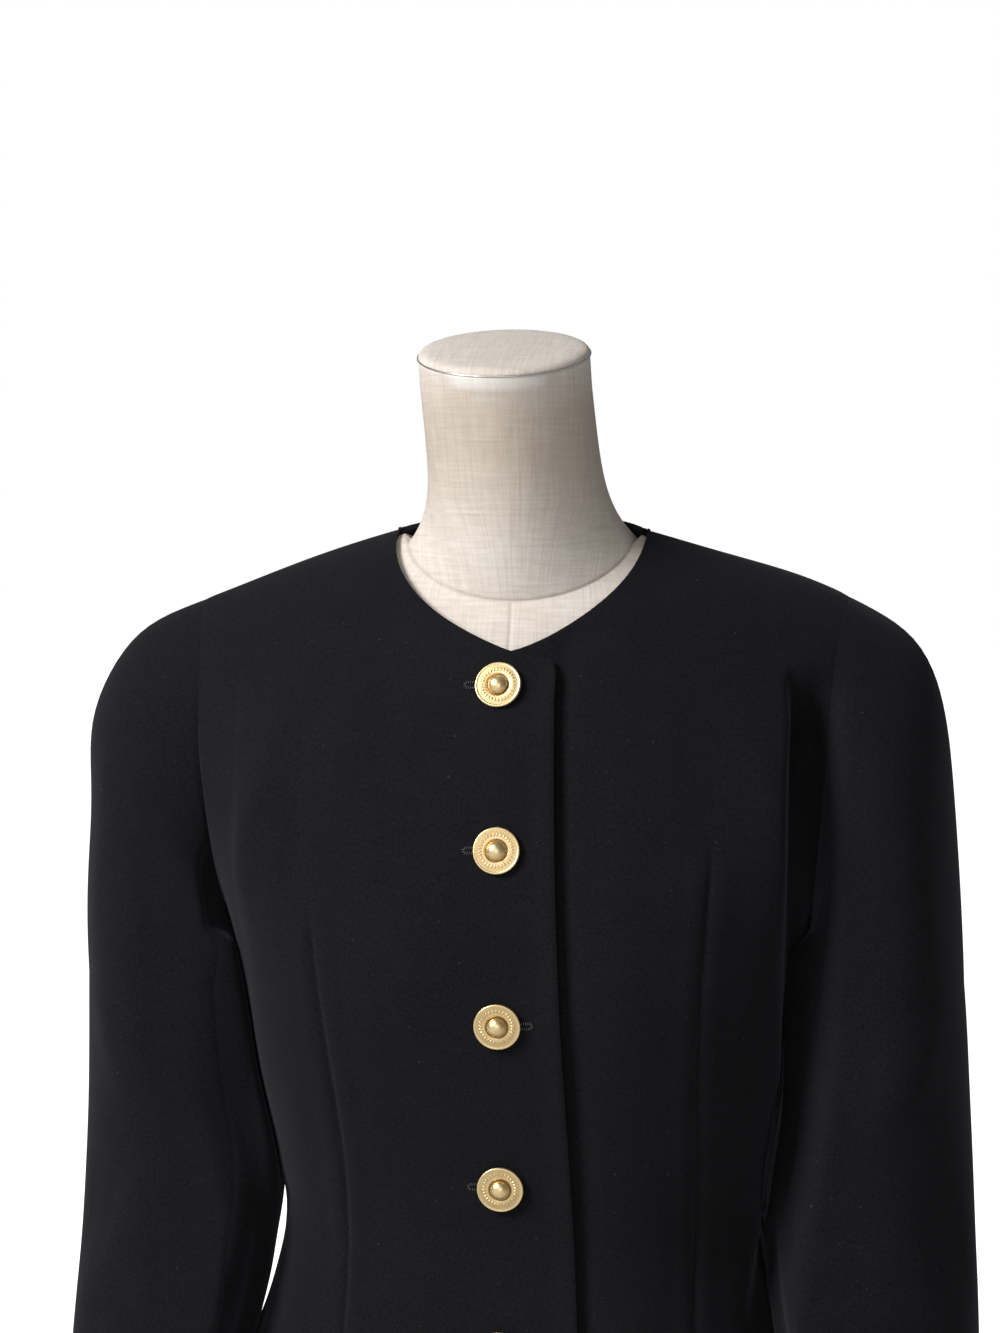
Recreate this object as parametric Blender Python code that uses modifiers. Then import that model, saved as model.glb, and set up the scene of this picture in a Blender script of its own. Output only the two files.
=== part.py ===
# A collarless, fitted jacket buttoned on a limbless dress form.
# Metres, +Z up, the front faces -Y and the wearer's left is +X.
# The origin is on the floor, under the middle of the round base.
# Heights on the garment are drops: distances below the side neck point, where
# the shoulder seam meets the neckline.

from collections import namedtuple
from math import cos, pi, radians, sin, sqrt

import bmesh
import bpy
from mathutils import Matrix, Vector
from mathutils.bvhtree import BVHTree

# ---- driving dimensions -------------------------------------------------

SIDE_NECK_HEIGHT = 0.810  # side neck point above the floor
CLOTH = 0.002  # wool crepe with its interlining
SEAM_GAP = 0.0003  # between pieces that are sewn together
SEAM_TURN = 0.006  # share of a panel's width that turns into the seam
CONTACT_GAP = 0.0013  # between the shoulders of the form and the jacket

JACKET_LENGTH = 0.620  # side neck point to hem
NECK_HALF_WIDTH = 0.0735
NECK_DROP_FRONT = 0.0640
NECK_RISE_BACK = 0.0080  # the nape stands above the side neck point
NECK_V = 1.15  # 2 would be a round neckline, 1 a plain V
SHOULDER_HALF_WIDTH = 0.190
SHOULDER_DROP = 0.041
SHOULDER_BULGE = 0.002  # the padded shoulder stands above a straight line
SHOULDER_Y = 0.004  # the shoulder seam lies a little behind the side seam
SLEEVE_LENGTH_DROP = 0.640  # side neck point to the end of the sleeve

OVERLAP_TOP = 0.031  # the front edge beyond the centre front, at the neck
OVERLAP_HEM = 0.042
UNDERLAP_DEPTH = 0.0030  # how far the left front lies behind the right one
UNDERLAP_FADE = 0.075  # and how far from the centre it comes forward again

BUTTON_RADIUS = 0.0133
SHANK_RADIUS = 0.003
BUTTON_SHANK = 0.0016  # how far the button stands off the cloth

FORM_BOTTOM_DROP = 0.700
NECK_TOP_HEIGHT = 0.1030  # middle of the neck's top above the side neck point
NECK_TOP_LEAN = -0.043  # how far the middle of the neck's top is forward
NECK_TOP_TILT = radians(13)
NECK_TOP_RADII = (0.0490, 0.0520)
NECK_CAP_THICKNESS = 0.006
NECK_FLARE = 5  # the higher, the lower down the neck begins to widen
BASE_RADIUS = 0.150
BASE_THICKNESS = 0.008
STEM_RADIUS = 0.016

# ---- tables -------------------------------------------------------------

# Level sections of the jacket, from the hem up to the armpit: the half width
# at the side seam, the depths forward and back of it, and how square they are.
Section = namedtuple("Section", "drop half_width front back square")
JACKET_SECTIONS = (
    Section(0.620, 0.192, 0.127, 0.129, 2.20),  # hem
    Section(0.560, 0.184, 0.121, 0.123, 2.20),
    Section(0.500, 0.168, 0.112, 0.110, 2.20),
    Section(0.450, 0.149, 0.104, 0.095, 2.20),
    Section(0.405, 0.138, 0.100, 0.086, 2.20),  # waist
    Section(0.360, 0.1405, 0.105, 0.089, 2.25),
    Section(0.310, 0.151, 0.115, 0.096, 2.30),
    Section(0.260, 0.161, 0.124, 0.102, 2.40),  # bust
    Section(0.225, 0.170, 0.123, 0.104, 2.40),  # armpit
)

# The same for the dress form.
FORM_SECTIONS = (
    Section(0.700, 0.172, 0.110, 0.119, 2.20),  # bottom edge
    Section(0.600, 0.176, 0.110, 0.120, 2.20),  # hips
    Section(0.500, 0.155, 0.099, 0.100, 2.20),
    Section(0.405, 0.127, 0.087, 0.076, 2.20),  # waist
    Section(0.310, 0.141, 0.103, 0.087, 2.30),
    Section(0.260, 0.152, 0.112, 0.092, 2.40),  # bust
    Section(0.225, 0.158, 0.111, 0.094, 2.40),
)

# The armhole as seen from the front and from the back, from the armpit up to
# the shoulder seam, in steps of about the same length along the seam.
Outline = namedtuple("Outline", "x drop")
ARMHOLE_FRONT = (
    Outline(0.1700, 0.2250),
    Outline(0.1715, 0.2110),
    Outline(0.1755, 0.1780),
    Outline(0.1795, 0.1400),
    Outline(0.1820, 0.1000),
    Outline(0.1855, 0.0670),
    Outline(SHOULDER_HALF_WIDTH, SHOULDER_DROP),
)
ARMHOLE_BACK = (
    Outline(0.1700, 0.2250),
    Outline(0.1700, 0.2110),
    Outline(0.1715, 0.1770),
    Outline(0.1745, 0.1370),
    Outline(0.1785, 0.0960),
    Outline(0.1840, 0.0650),
    Outline(SHOULDER_HALF_WIDTH, SHOULDER_DROP),
)

# The middles of the buttons, the upper three as in the photo.
BUTTON_PLACES = (
    Outline(-0.0029, 0.0832),
    Outline(-0.0001, 0.1735),
    Outline(0.0012, 0.2710),
    Outline(0.0006, 0.3675),
    Outline(-0.0004, 0.4640),
)

# The shoulder end of the form, with no arm: up its side and over its end.
FORM_SHOULDER_END = (
    Outline(0.1580, 0.2250),
    Outline(0.1600, 0.1800),
    Outline(0.1645, 0.1350),
    Outline(0.1695, 0.0950),
    Outline(0.1685, 0.0670),
    Outline(0.1620, 0.0480),
    Outline(0.1480, 0.0362),
)

# Where the form's neck begins.
Base = namedtuple("Base", "half_width front side back inset")
NECK_BASE = Base(0.0660, 0.0376, 0.0055, -0.0070, 0.90)

# Level sections of a hanging sleeve, from the biceps down to its end: the
# middle of the tube and its half widths.
Tube = namedtuple("Tube", "drop x y half_x half_y")
SLEEVE_SECTIONS = (
    Tube(0.262, 0.2095, -0.003, 0.0455, 0.0730),
    Tube(0.310, 0.2055, -0.006, 0.0520, 0.0660),
    Tube(0.365, 0.2020, -0.010, 0.0585, 0.0590),
    Tube(0.430, 0.2085, -0.018, 0.0555, 0.0550),
    Tube(0.500, 0.2195, -0.029, 0.0490, 0.0500),
    Tube(0.570, 0.2325, -0.042, 0.0435, 0.0455),
    Tube(SLEEVE_LENGTH_DROP, 0.2390, -0.055, 0.0400, 0.0415),
)

# How the sleeve leaves the armhole, round the arm from the shoulder seam (0)
# by the front (90) and the armpit (180) to the back (270): the direction in
# which it leaves, how far it holds that, and how far it rises from the biceps.
Cap = namedtuple("Cap", "angle out_x out_y out_drop reach rise")
SLEEVE_CAP = (
    Cap(0, 0.910, 0.00, 0.41, 0.0625, 0.208),
    Cap(45, 0.760, -0.58, 0.32, 0.0470, 0.145),
    Cap(90, 0.420, -0.85, 0.30, 0.0330, 0.085),
    Cap(135, 0.220, -0.60, 0.75, 0.0150, 0.030),
    Cap(180, 0.100, 0.00, 0.99, 0.0100, 0.010),
    Cap(225, 0.300, 0.50, 0.80, 0.0150, 0.030),
    Cap(270, 0.550, 0.78, 0.30, 0.0330, 0.085),
    Cap(315, 0.820, 0.48, 0.32, 0.0470, 0.145),
    Cap(360, 0.910, 0.00, 0.41, 0.0625, 0.208),
)

# Soft folds that stand out from the level sections: where the middle is, half
# its length and half its width, how far it stands out, and its lean.
Fold = namedtuple("Fold", "x drop half_length half_width height lean")
FRONT_FOLDS = (
    Fold(0.142, 0.170, 0.085, 0.020, 0.0045, 0.10),  # chest breaks at the arm
    Fold(0.112, 0.400, 0.120, 0.016, -0.0025, -0.10),  # hollow along the dart
    Fold(0.140, 0.520, 0.080, 0.026, 0.0040, 0.20),  # flare over the hip
)
BACK_FOLDS = (
    Fold(0.145, 0.165, 0.080, 0.022, 0.0040, 0.06),
    Fold(0.080, 0.405, 0.120, 0.020, -0.0025, 0.00),
    Fold(0.100, 0.530, 0.080, 0.028, 0.0040, 0.10),
)
SLEEVE_FOLDS = (  # here x is the angle round the arm, in turns
    Fold(0.20, 0.300, 0.060, 0.060, 0.0040, 0.9),
    Fold(0.12, 0.400, 0.055, 0.050, -0.0040, -0.7),
    Fold(0.30, 0.455, 0.050, 0.060, 0.0040, 0.8),
    Fold(0.80, 0.370, 0.080, 0.070, 0.0040, -0.6),
    Fold(0.70, 0.480, 0.060, 0.050, -0.0035, 0.5),
)

# The top corner of each front, beyond the centre front, is rounded.
Corner = namedtuple("Corner", "reach drop")
FRONT_CORNER = (
    Corner(0.00, 0.0000),
    Corner(0.35, 0.0015),
    Corner(0.68, 0.0035),
    Corner(0.90, 0.0070),
    Corner(1.00, 0.0130),
)

# Steps of the loft.
LOWER_DROPS = (0.620, 0.617, 0.585, 0.540, 0.495, 0.450, 0.405, 0.360, 0.310, 0.265)
UPPER_STEPS = 12  # along the armhole, two for each step of its tables
HALF_PANEL_STEPS = 12  # from the centre to the side seam
NECK_STEPS = 5  # of those, how many end at the neckline
FORM_HALF_STEPS = 10
FORM_NECK_STEPS = 5
FORM_DROPS = (0.700, 0.650, 0.600, 0.550, 0.500, 0.450, 0.405, 0.360, 0.310, 0.265)
FORM_UPPER_STEPS = 9
FORM_NECK_RINGS = 6
CAP_STEPS = 8
SLEEVE_DROPS = (0.290, 0.325, 0.365, 0.400, 0.435, 0.475, 0.520, 0.570, 0.610, 0.637, 0.640)
SLEEVE_FRONT_SEAM = 8  # armhole steps from the shoulder seam to the front seam
SLEEVE_BACK_SEAM = 19  # and on to the back seam, of 24 in all
ARMHOLE_CURVE = 1.5  # packs the upper rows towards the shoulder seam
SHOULDER_STRIP = 0.985  # above this rise the cloth is level across the seam
SHOULDER_STRIP_WIDTH = 0.002

# Button profile, from its back round the rim to the top: radius and height.
Ring = namedtuple("Ring", "radius height")
BUTTON_RINGS = (
    Ring(0.0000, 0.0062),
    Ring(0.0030, 0.0055),
    Ring(0.0045, 0.0038),
    Ring(0.0056, 0.0020),
    Ring(0.0118, 0.0026),
    Ring(BUTTON_RADIUS, 0.0014),
    Ring(BUTTON_RADIUS, 0.0004),
    Ring(0.0120, 0.0000),
    Ring(SHANK_RADIUS, 0.0000),
    Ring(SHANK_RADIUS, -BUTTON_SHANK),
    Ring(0.0000, -BUTTON_SHANK),
)

# Colour, roughness and metallic value of each finish.
Finish = namedtuple("Finish", "colour roughness metallic")
FINISHES = {
    "wool": Finish((0.012, 0.012, 0.016), 0.92, 0.0),
    "gilt": Finish((0.78, 0.52, 0.18), 0.30, 1.0),
    "linen": Finish((0.66, 0.60, 0.53), 0.85, 0.0),
    "steel": Finish((0.60, 0.58, 0.55), 0.45, 0.0),
}


# ---- curves through the tables ------------------------------------------


def through(keys, values, at):
    """A smooth value at a key, on a curve through the values."""
    if keys[0] > keys[-1]:
        keys, values = keys[::-1], values[::-1]
    at = min(max(at, keys[0]), keys[-1])
    i = max(k for k in range(len(keys) - 1) if keys[k] <= at)
    gaps = [keys[k + 1] - keys[k] for k in range(len(keys) - 1)]
    slopes = [(values[k + 1] - values[k]) / gaps[k] for k in range(len(gaps))]

    def tangent(k):
        if k == 0:
            return slopes[0]
        if k == len(keys) - 1:
            return slopes[-1]
        return (slopes[k - 1] * gaps[k] + slopes[k] * gaps[k - 1]) / (gaps[k - 1] + gaps[k])

    t, gap = (at - keys[i]) / gaps[i], gaps[i]
    return (
        values[i] * (1 + 2 * t) * (1 - t) ** 2
        + values[i + 1] * t * t * (3 - 2 * t)
        + gap * (tangent(i) * t * (1 - t) ** 2 - tangent(i + 1) * t * t * (1 - t))
    )


def row_at(table, key, at):
    """The table's row at a key, with every column on its own smooth curve."""
    keys = [getattr(row, key) for row in table]
    columns = zip(*table)
    return type(table[0])(*(through(keys, column, at) for column in columns))


def step_at(table, share):
    """The table's row at a share of its length, its rows being evenly spaced."""
    keys = list(range(len(table)))
    at = share * (len(table) - 1)
    return type(table[0])(*(through(keys, column, at) for column in zip(*table)))


def fade(value):
    """0 at 0 and below, 1 at 1 and above, smooth between."""
    t = min(max(value, 0), 1)
    return t * t * (3 - 2 * t)


def height(drop):
    return SIDE_NECK_HEIGHT - drop


# ---- the shape of the body ----------------------------------------------


def ridge_drop(x, neck_rise):
    """The shoulder line; inside the neck it runs up to an imagined peak."""
    slope = SHOULDER_DROP / (SHOULDER_HALF_WIDTH - NECK_HALF_WIDTH)
    peak = neck_rise * max(0, 1 - (x / NECK_HALF_WIDTH) ** 2) ** 1.5
    along = min(max((x - NECK_HALF_WIDTH) / (SHOULDER_HALF_WIDTH - NECK_HALF_WIDTH), 0), 1)
    return slope * (x - NECK_HALF_WIDTH) - peak - 4 * SHOULDER_BULGE * along * (1 - along)


# How the body rounds over the shoulder: the imagined peak inside the neck, two
# exponents, and how fast the chest widens above the armpit.
Dome = namedtuple("Dome", "neck_rise fall round widen")
DOMES = {-1: Dome(0.000, 1.5, 0.6, 0.24), 1: Dome(0.030, 2.6, 0.6, 0.40)}


def folds_at(folds, x, drop):
    """How far the folds stand out at a place."""
    total = 0
    for fold in folds:
        along = (drop - fold.drop) / fold.half_length
        across = (x - fold.x - fold.lean * (drop - fold.drop)) / fold.half_width
        if abs(along) < 1:
            total += fold.height * cos(along * pi / 2) ** 2 / (1 + across**4)
    return total


def body_y(x, drop, facing):
    """Depth of the jacket's outer face above the armpit; facing is -1 in front."""
    x = abs(x)
    armpit = JACKET_SECTIONS[-1]
    dome = DOMES[facing]
    depth = armpit.front if facing < 0 else armpit.back
    half_width = armpit.half_width + dome.widen * max(0, armpit.drop - drop)
    level = depth * max(0, 1 - (x / half_width) ** armpit.square) ** (1 / armpit.square)
    ridge = ridge_drop(x, dome.neck_rise)
    fallen = min(max((drop - ridge) / (armpit.drop - ridge), 0), 1)
    swell = (1 - (1 - fallen) ** dome.fall) ** dome.round
    folds = folds_at(FRONT_FOLDS if facing < 0 else BACK_FOLDS, x, drop)
    return SHOULDER_Y + facing * ((level - facing * SHOULDER_Y) * swell + folds * swell)


def lower_point(share, drop, facing):
    """A point of the outer face at or below the armpit; share is 0 at the centre and 1 at the side."""
    section = row_at(JACKET_SECTIONS, "drop", drop)
    angle, power = share * pi / 2, 2 / section.square
    x = section.half_width * sin(angle) ** power
    depth = section.front if facing < 0 else section.back
    folds = folds_at(FRONT_FOLDS if facing < 0 else BACK_FOLDS, x, drop)
    out = folds * cos(angle) ** 0.5 if share < 1 else 0
    return Vector((x, facing * (depth * max(0, cos(angle)) ** power + out), height(drop)))


def top_outline(share, facing):
    """The upper edge of a half panel: neckline, then shoulder seam."""
    neck_share = NECK_STEPS / HALF_PANEL_STEPS
    if share <= neck_share:
        turn = share / neck_share * pi / 2
        x = NECK_HALF_WIDTH * sin(turn)
        if facing < 0:
            return Outline(x, NECK_DROP_FRONT * sqrt(max(0, 1 - sin(turn) ** NECK_V)))
        return Outline(x, -NECK_RISE_BACK * cos(turn))
    along = (share - neck_share) / (1 - neck_share)
    x = NECK_HALF_WIDTH + along * (SHOULDER_HALF_WIDTH - NECK_HALF_WIDTH)
    return Outline(x, ridge_drop(x, 0))


def upper_point(share, rise, facing):
    """A point of the outer face above the armpit; rise is 0 at the armpit and 1 at the top edge."""
    armhole = ARMHOLE_FRONT if facing < 0 else ARMHOLE_BACK
    armpit, shoulder = armhole[0], armhole[-1]
    start = lower_point(share, armpit.drop, facing)
    top = top_outline(share, facing)
    edge = step_at(armhole, rise)
    v = 1 - (1 - rise) ** ARMHOLE_CURVE
    pull = share**3
    x = (1 - v) * start.x + v * top.x + pull * (edge.x - (1 - v) * armpit.x - v * shoulder.x)
    drop = (1 - v) * armpit.drop + v * top.drop
    drop += pull * (edge.drop - (1 - v) * armpit.drop - v * shoulder.drop)
    if rise == 0:
        return start
    if rise > SHOULDER_STRIP and share >= NECK_STEPS / HALF_PANEL_STEPS:
        flat = 0 if rise == 1 else SHOULDER_STRIP_WIDTH
        return Vector((top.x, SHOULDER_Y + facing * flat, height(top.drop)))
    return Vector((x, body_y(x, drop, facing), height(drop)))


def armhole_point(turn):
    """A point of the armhole seam: 0 and 1 are the shoulder seam, 0.25 the front, 0.5 the armpit."""
    facing = -1 if turn <= 0.5 else 1
    rise = 1 - 2 * turn if turn <= 0.5 else 2 * turn - 1
    return upper_point(1, rise, facing)


# ---- mesh helpers -------------------------------------------------------


def new_object(name, mesh, finish):
    obj = bpy.data.objects.new(name, mesh)
    PARTS.objects.link(obj)
    mesh.materials.append(MATERIALS[finish])
    return obj


def add_grid(bm, rows, flipped=False):
    """Faces through rows of points; they look towards you where rows run right and up."""
    verts = [[bm.verts.new(point) for point in row] for row in rows]
    for low, high in zip(verts, verts[1:]):
        for i in range(len(low) - 1):
            corners = (low[i], low[i + 1], high[i + 1], high[i])
            bm.faces.new(corners[::-1] if flipped else corners)


def grid_mesh(name, rows):
    bm = bmesh.new()
    add_grid(bm, rows)
    mesh = bpy.data.meshes.new(name)
    bm.to_mesh(mesh)
    bm.free()
    return mesh


def drawn_back(edge, beside):
    """A line of points moved towards the line beside it, square to its own run, by half the seam gap."""
    moved = []
    for i, (point, inner) in enumerate(zip(edge, beside)):
        run = edge[min(i + 1, len(edge) - 1)] - edge[max(i - 1, 0)]
        across = (inner - point) - (inner - point).project(run)
        moved.append(point + across.normalized() * SEAM_GAP / 2)
    return moved


def trimmed(rows, first=True, last=True, top=False):
    """The rows with their seam edges drawn back."""
    rows = [list(row) for row in rows]
    if top:
        rows[-1] = drawn_back(rows[-1], rows[-2])
    for wanted, edge, beside in ((first, 0, 1), (last, -1, -2)):
        if wanted:
            moved = drawn_back([row[edge] for row in rows], [row[beside] for row in rows])
            for row, point in zip(rows, moved):
                row[edge] = point
    return rows


def mirrored(rows):
    """The rows on the other side of the body, run so that their faces still point out."""
    return [[Vector((-p.x, p.y, p.z)) for p in reversed(row)] for row in rows]


def cloth(name, rows):
    """A wall of cloth whose outer face runs through the rows."""
    obj = new_object(name, grid_mesh(name, rows), "wool")
    obj.data.shade_smooth()
    wall = obj.modifiers.new("wall", "SOLIDIFY")
    wall.thickness = CLOTH
    wall.offset = -1
    wall.use_rim = True
    return obj


# ---- jacket panels ------------------------------------------------------


def column_shares():
    """Shares from the centre to the side seam, the last one just before the seam."""
    steps = [i / HALF_PANEL_STEPS for i in range(HALF_PANEL_STEPS)]
    return steps + [1 - SEAM_TURN, 1]


def rises():
    """Upper rows, without the armpit row itself."""
    steps = [i / UPPER_STEPS for i in range(1, UPPER_STEPS)]
    return steps + [0.99, 1]


def half_panel(facing):
    """Rows of half a panel, each from the centre to the side seam or armhole."""
    shares = column_shares()
    armpit = JACKET_SECTIONS[-1].drop
    rows = [[lower_point(share, drop, facing) for share in shares] for drop in LOWER_DROPS + (armpit,)]
    rows += [[upper_point(share, rise, facing) for share in shares] for rise in rises()]
    return rows


def overlap_at(drop):
    """How far the front edge lies beyond the centre front."""
    return OVERLAP_TOP + (OVERLAP_HEM - OVERLAP_TOP) * drop / JACKET_LENGTH


def with_overlap(rows):
    """The front panel's rows, carried on past the centre front to the front edge."""
    armpit = JACKET_SECTIONS[-1].drop
    carried = []
    for row in rows:
        centre = row[0]
        drop = SIDE_NECK_HEIGHT - centre.z
        reach = overlap_at(drop)
        near_top = fade((0.110 - drop) / (0.110 - NECK_DROP_FRONT))
        extra = []
        for corner in reversed(FRONT_CORNER[1:]):
            x = corner.reach * reach
            low = drop + corner.drop * near_top
            if low >= armpit:
                section = row_at(JACKET_SECTIONS, "drop", low)
                y = -section.front * (1 - (x / section.half_width) ** section.square) ** (1 / section.square)
            else:
                y = body_y(x, low, -1)
            extra.append(Vector((-x, y, height(low))))
        carried.append(extra + row)
    return carried


def front_panels():
    """The wearer's left front, which lies under, and the right front, which buttons over it."""
    rows = with_overlap(half_panel(-1))
    under = []
    for row in rows:
        moved = []
        for point in row:
            depth = UNDERLAP_DEPTH * (1 - fade((point.x - 0.030) / (UNDERLAP_FADE - 0.030)))
            moved.append(point + Vector((0, depth, 0)))
        under.append(moved)
    cloth("left_front", trimmed(under, first=False, top=True))
    over = mirrored(rows)
    return cloth("right_front", trimmed(over, last=False, top=True))


def back_panel():
    half = half_panel(1)
    rows = [[Vector((-p.x, p.y, p.z)) for p in row[:0:-1]] + row for row in half]
    turned = [row[::-1] for row in rows]
    cloth("back", trimmed(turned, top=True))


# ---- sleeves ------------------------------------------------------------


def sleeve_folds(turn, drop):
    """The sleeve's soft folds, round the arm and down it."""
    total = 0
    for fold in SLEEVE_FOLDS:
        along = (drop - fold.drop) / fold.half_length
        across = turn - fold.x - fold.lean * (drop - fold.drop)
        across = (across + 0.5) % 1 - 0.5
        if abs(along) < 1:
            total += fold.height * cos(along * pi / 2) ** 2 / (1 + (across / fold.half_width) ** 4)
    return total


def sleeve_point(turn, drop):
    """A point of the hanging tube; turn runs from the outside by the front and the body to the back."""
    tube = row_at(SLEEVE_SECTIONS, "drop", drop)
    angle = turn * 2 * pi
    out = sleeve_folds(turn, drop)
    x = tube.x + (tube.half_x + out) * cos(angle)
    y = tube.y - (tube.half_y + out) * sin(angle)
    return Vector((x, y, height(drop)))


def cap_point(turn, rise):
    """A point of the sleeve cap; rise is 0 at the biceps and 1 at the armhole seam."""
    cap = step_at(SLEEVE_CAP, turn)
    biceps = sleeve_point(turn, SLEEVE_SECTIONS[0].drop)
    seam = armhole_point(turn)
    up = Vector((0, 0, cap.rise))
    out = Vector((cap.out_x, cap.out_y, -cap.out_drop)).normalized() * cap.reach
    t, s = rise, 1 - rise
    return biceps * s**3 + (biceps + up) * 3 * s * s * t + (seam + out) * 3 * s * t * t + seam * t**3


def sleeve_rows(turns):
    """Rows from the sleeve's end up to the armhole; a turn below 0 comes round from the back."""
    turns = [turn % 1 for turn in turns]
    rows = [[sleeve_point(turn, drop) for turn in turns] for drop in reversed(SLEEVE_DROPS)]
    shares = [i / CAP_STEPS for i in range(CAP_STEPS)] + [0.985, 1]
    rows += [[cap_point(turn, share) for turn in turns] for share in shares]
    return rows


def seamed_turns(first, last):
    """Turns round the arm between two seams, with a narrow strip at each."""
    steps = 2 * UPPER_STEPS
    strip = 0.12 / steps
    inner = [i / steps for i in range(first + 1, last)]
    return [first / steps, first / steps + strip] + inner + [last / steps - strip, last / steps]


def sleeves():
    steps = 2 * UPPER_STEPS
    top = sleeve_rows(seamed_turns(SLEEVE_BACK_SEAM - steps, SLEEVE_FRONT_SEAM))
    under = sleeve_rows(seamed_turns(SLEEVE_FRONT_SEAM, SLEEVE_BACK_SEAM))
    for piece, rows in (("top_sleeve", top), ("under_sleeve", under)):
        rows = [row[::-1] for row in trimmed(rows, top=True)]
        cloth(f"left_{piece}", rows)
        cloth(f"right_{piece}", mirrored(rows))


# ---- buttons ------------------------------------------------------------


def face_and_normal(x, drop):
    """A point of the right front's outer face, and which way the face looks."""
    step = 0.004
    armpit = JACKET_SECTIONS[-1].drop

    def at(px, pdrop):
        if pdrop < armpit:
            return Vector((px, body_y(px, pdrop, -1), height(pdrop)))
        section = row_at(JACKET_SECTIONS, "drop", pdrop)
        y = -section.front * (1 - (abs(px) / section.half_width) ** section.square) ** (1 / section.square)
        return Vector((px, y, height(pdrop)))

    across = at(x + step, drop) - at(x - step, drop)
    down = at(x, drop + step) - at(x, drop - step)
    return at(x, drop), down.cross(across).normalized()


def turned(name, rings, finish, steps):
    """A turned solid: a profile that runs down its outer side, spun round Z."""
    bm = bmesh.new()
    verts = [bm.verts.new((ring.radius, 0, ring.height)) for ring in rings]
    for low, high in zip(verts, verts[1:]):
        bm.edges.new((low, high))
    mesh = bpy.data.meshes.new(name)
    bm.to_mesh(mesh)
    bm.free()
    obj = new_object(name, mesh, finish)
    screw = obj.modifiers.new("turn", "SCREW")
    screw.steps = screw.render_steps = steps
    screw.use_merge_vertices = True
    screw.merge_threshold = 0.00001
    screw.use_normal_calculate = True
    return obj


def highest_under(tree, place, normal):
    """How far the cloth stands above a place, anywhere under a button's shank."""
    side = normal.orthogonal().normalized()
    start = 0.010
    reaches = []
    for i in range(12):
        spoke = Matrix.Rotation(i * pi / 6, 3, normal) @ side
        hit = tree.ray_cast(place + normal * start + spoke * SHANK_RADIUS, -normal)
        reaches.append(start - hit[3])
    return max(reaches)


def buttons(front):
    """Buttons seated on the right front, each square to the cloth."""
    mesh = front.data
    tree = BVHTree.FromPolygons([v.co for v in mesh.vertices], [f.vertices for f in mesh.polygons])
    for i, middle in enumerate(BUTTON_PLACES):
        place, normal = face_and_normal(middle.x, middle.drop)
        button = turned(f"button_{i + 1}", BUTTON_RINGS, "gilt", 20)
        seat = highest_under(tree, place, normal) + SEAM_GAP + BUTTON_SHANK
        turn = normal.to_track_quat("Z", "Y").to_matrix().to_4x4()
        button.matrix_world = Matrix.Translation(place + normal * seat) @ turn


# ---- dress form ---------------------------------------------------------


def form_ridge_drop(x, neck_rise):
    """The form's shoulder line, just under the jacket's, falling away at its end."""
    lowered = CLOTH + CONTACT_GAP
    if x <= FORM_SHOULDER_END[-1].x:
        return ridge_drop(x, neck_rise) + lowered
    end = FORM_SHOULDER_END[3:]
    return through([p.x for p in end[::-1]], [p.drop for p in end[::-1]], x)


def form_half_width(drop):
    """Half width of the form above the armpit, up to its widest place."""
    side = FORM_SHOULDER_END[:4]
    if drop <= side[-1].drop:
        return side[-1].x + 0.05 * (side[-1].drop - drop)
    return through([p.drop for p in side], [p.x for p in side], drop)


def form_point(x, drop, facing):
    """A point of the form above the armpit: inside the jacket, with less depth."""
    armpit = FORM_SECTIONS[-1]
    dome = DOMES[facing]
    depth = armpit.front if facing < 0 else armpit.back
    level = depth * max(0, 1 - (x / form_half_width(drop)) ** armpit.square) ** (1 / armpit.square)
    ridge = form_ridge_drop(x, dome.neck_rise)
    fallen = min(max((drop - ridge) / (armpit.drop - ridge), 0), 1)
    swell = (1 - (1 - fallen) ** dome.fall) ** dome.round
    return Vector((x, SHOULDER_Y + facing * (level - facing * SHOULDER_Y) * swell, height(drop)))


def form_neck_base(turn):
    """The line where the neck begins: turn is 0 in front, 1 over the shoulder and 2 at the nape."""
    angle = turn * pi / 2
    x = NECK_BASE.half_width * sin(angle)
    if turn < 1:
        drop = NECK_BASE.side + (NECK_BASE.front - NECK_BASE.side) * cos(angle) ** 1.2
        return form_point(x, drop, -1)
    if turn > 1:
        drop = NECK_BASE.side + (NECK_BASE.side - NECK_BASE.back) * cos(angle)
        point = form_point(x, drop, 1)
        return Vector((x, SHOULDER_Y + NECK_BASE.inset * (point.y - SHOULDER_Y), point.z))
    return Vector((x, SHOULDER_Y, height(NECK_BASE.side)))


def neck_ring(share, turns):
    """A ring of the neck, from its base (0) to the rim of its top (1)."""
    top_middle = Vector((0, NECK_TOP_LEAN, SIDE_NECK_HEIGHT + NECK_TOP_HEIGHT))
    tilt = Matrix.Rotation(NECK_TOP_TILT, 3, "X")
    ring = []
    for turn in turns:
        angle = turn * pi / 2
        base = form_neck_base(turn)
        top = top_middle + tilt @ Vector((NECK_TOP_RADII[0] * sin(angle), -NECK_TOP_RADII[1] * cos(angle), 0))
        point = base.lerp(top, share)
        point.x = top.x + (base.x - top.x) * (1 - share) ** NECK_FLARE
        ring.append(point)
    return ring


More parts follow.
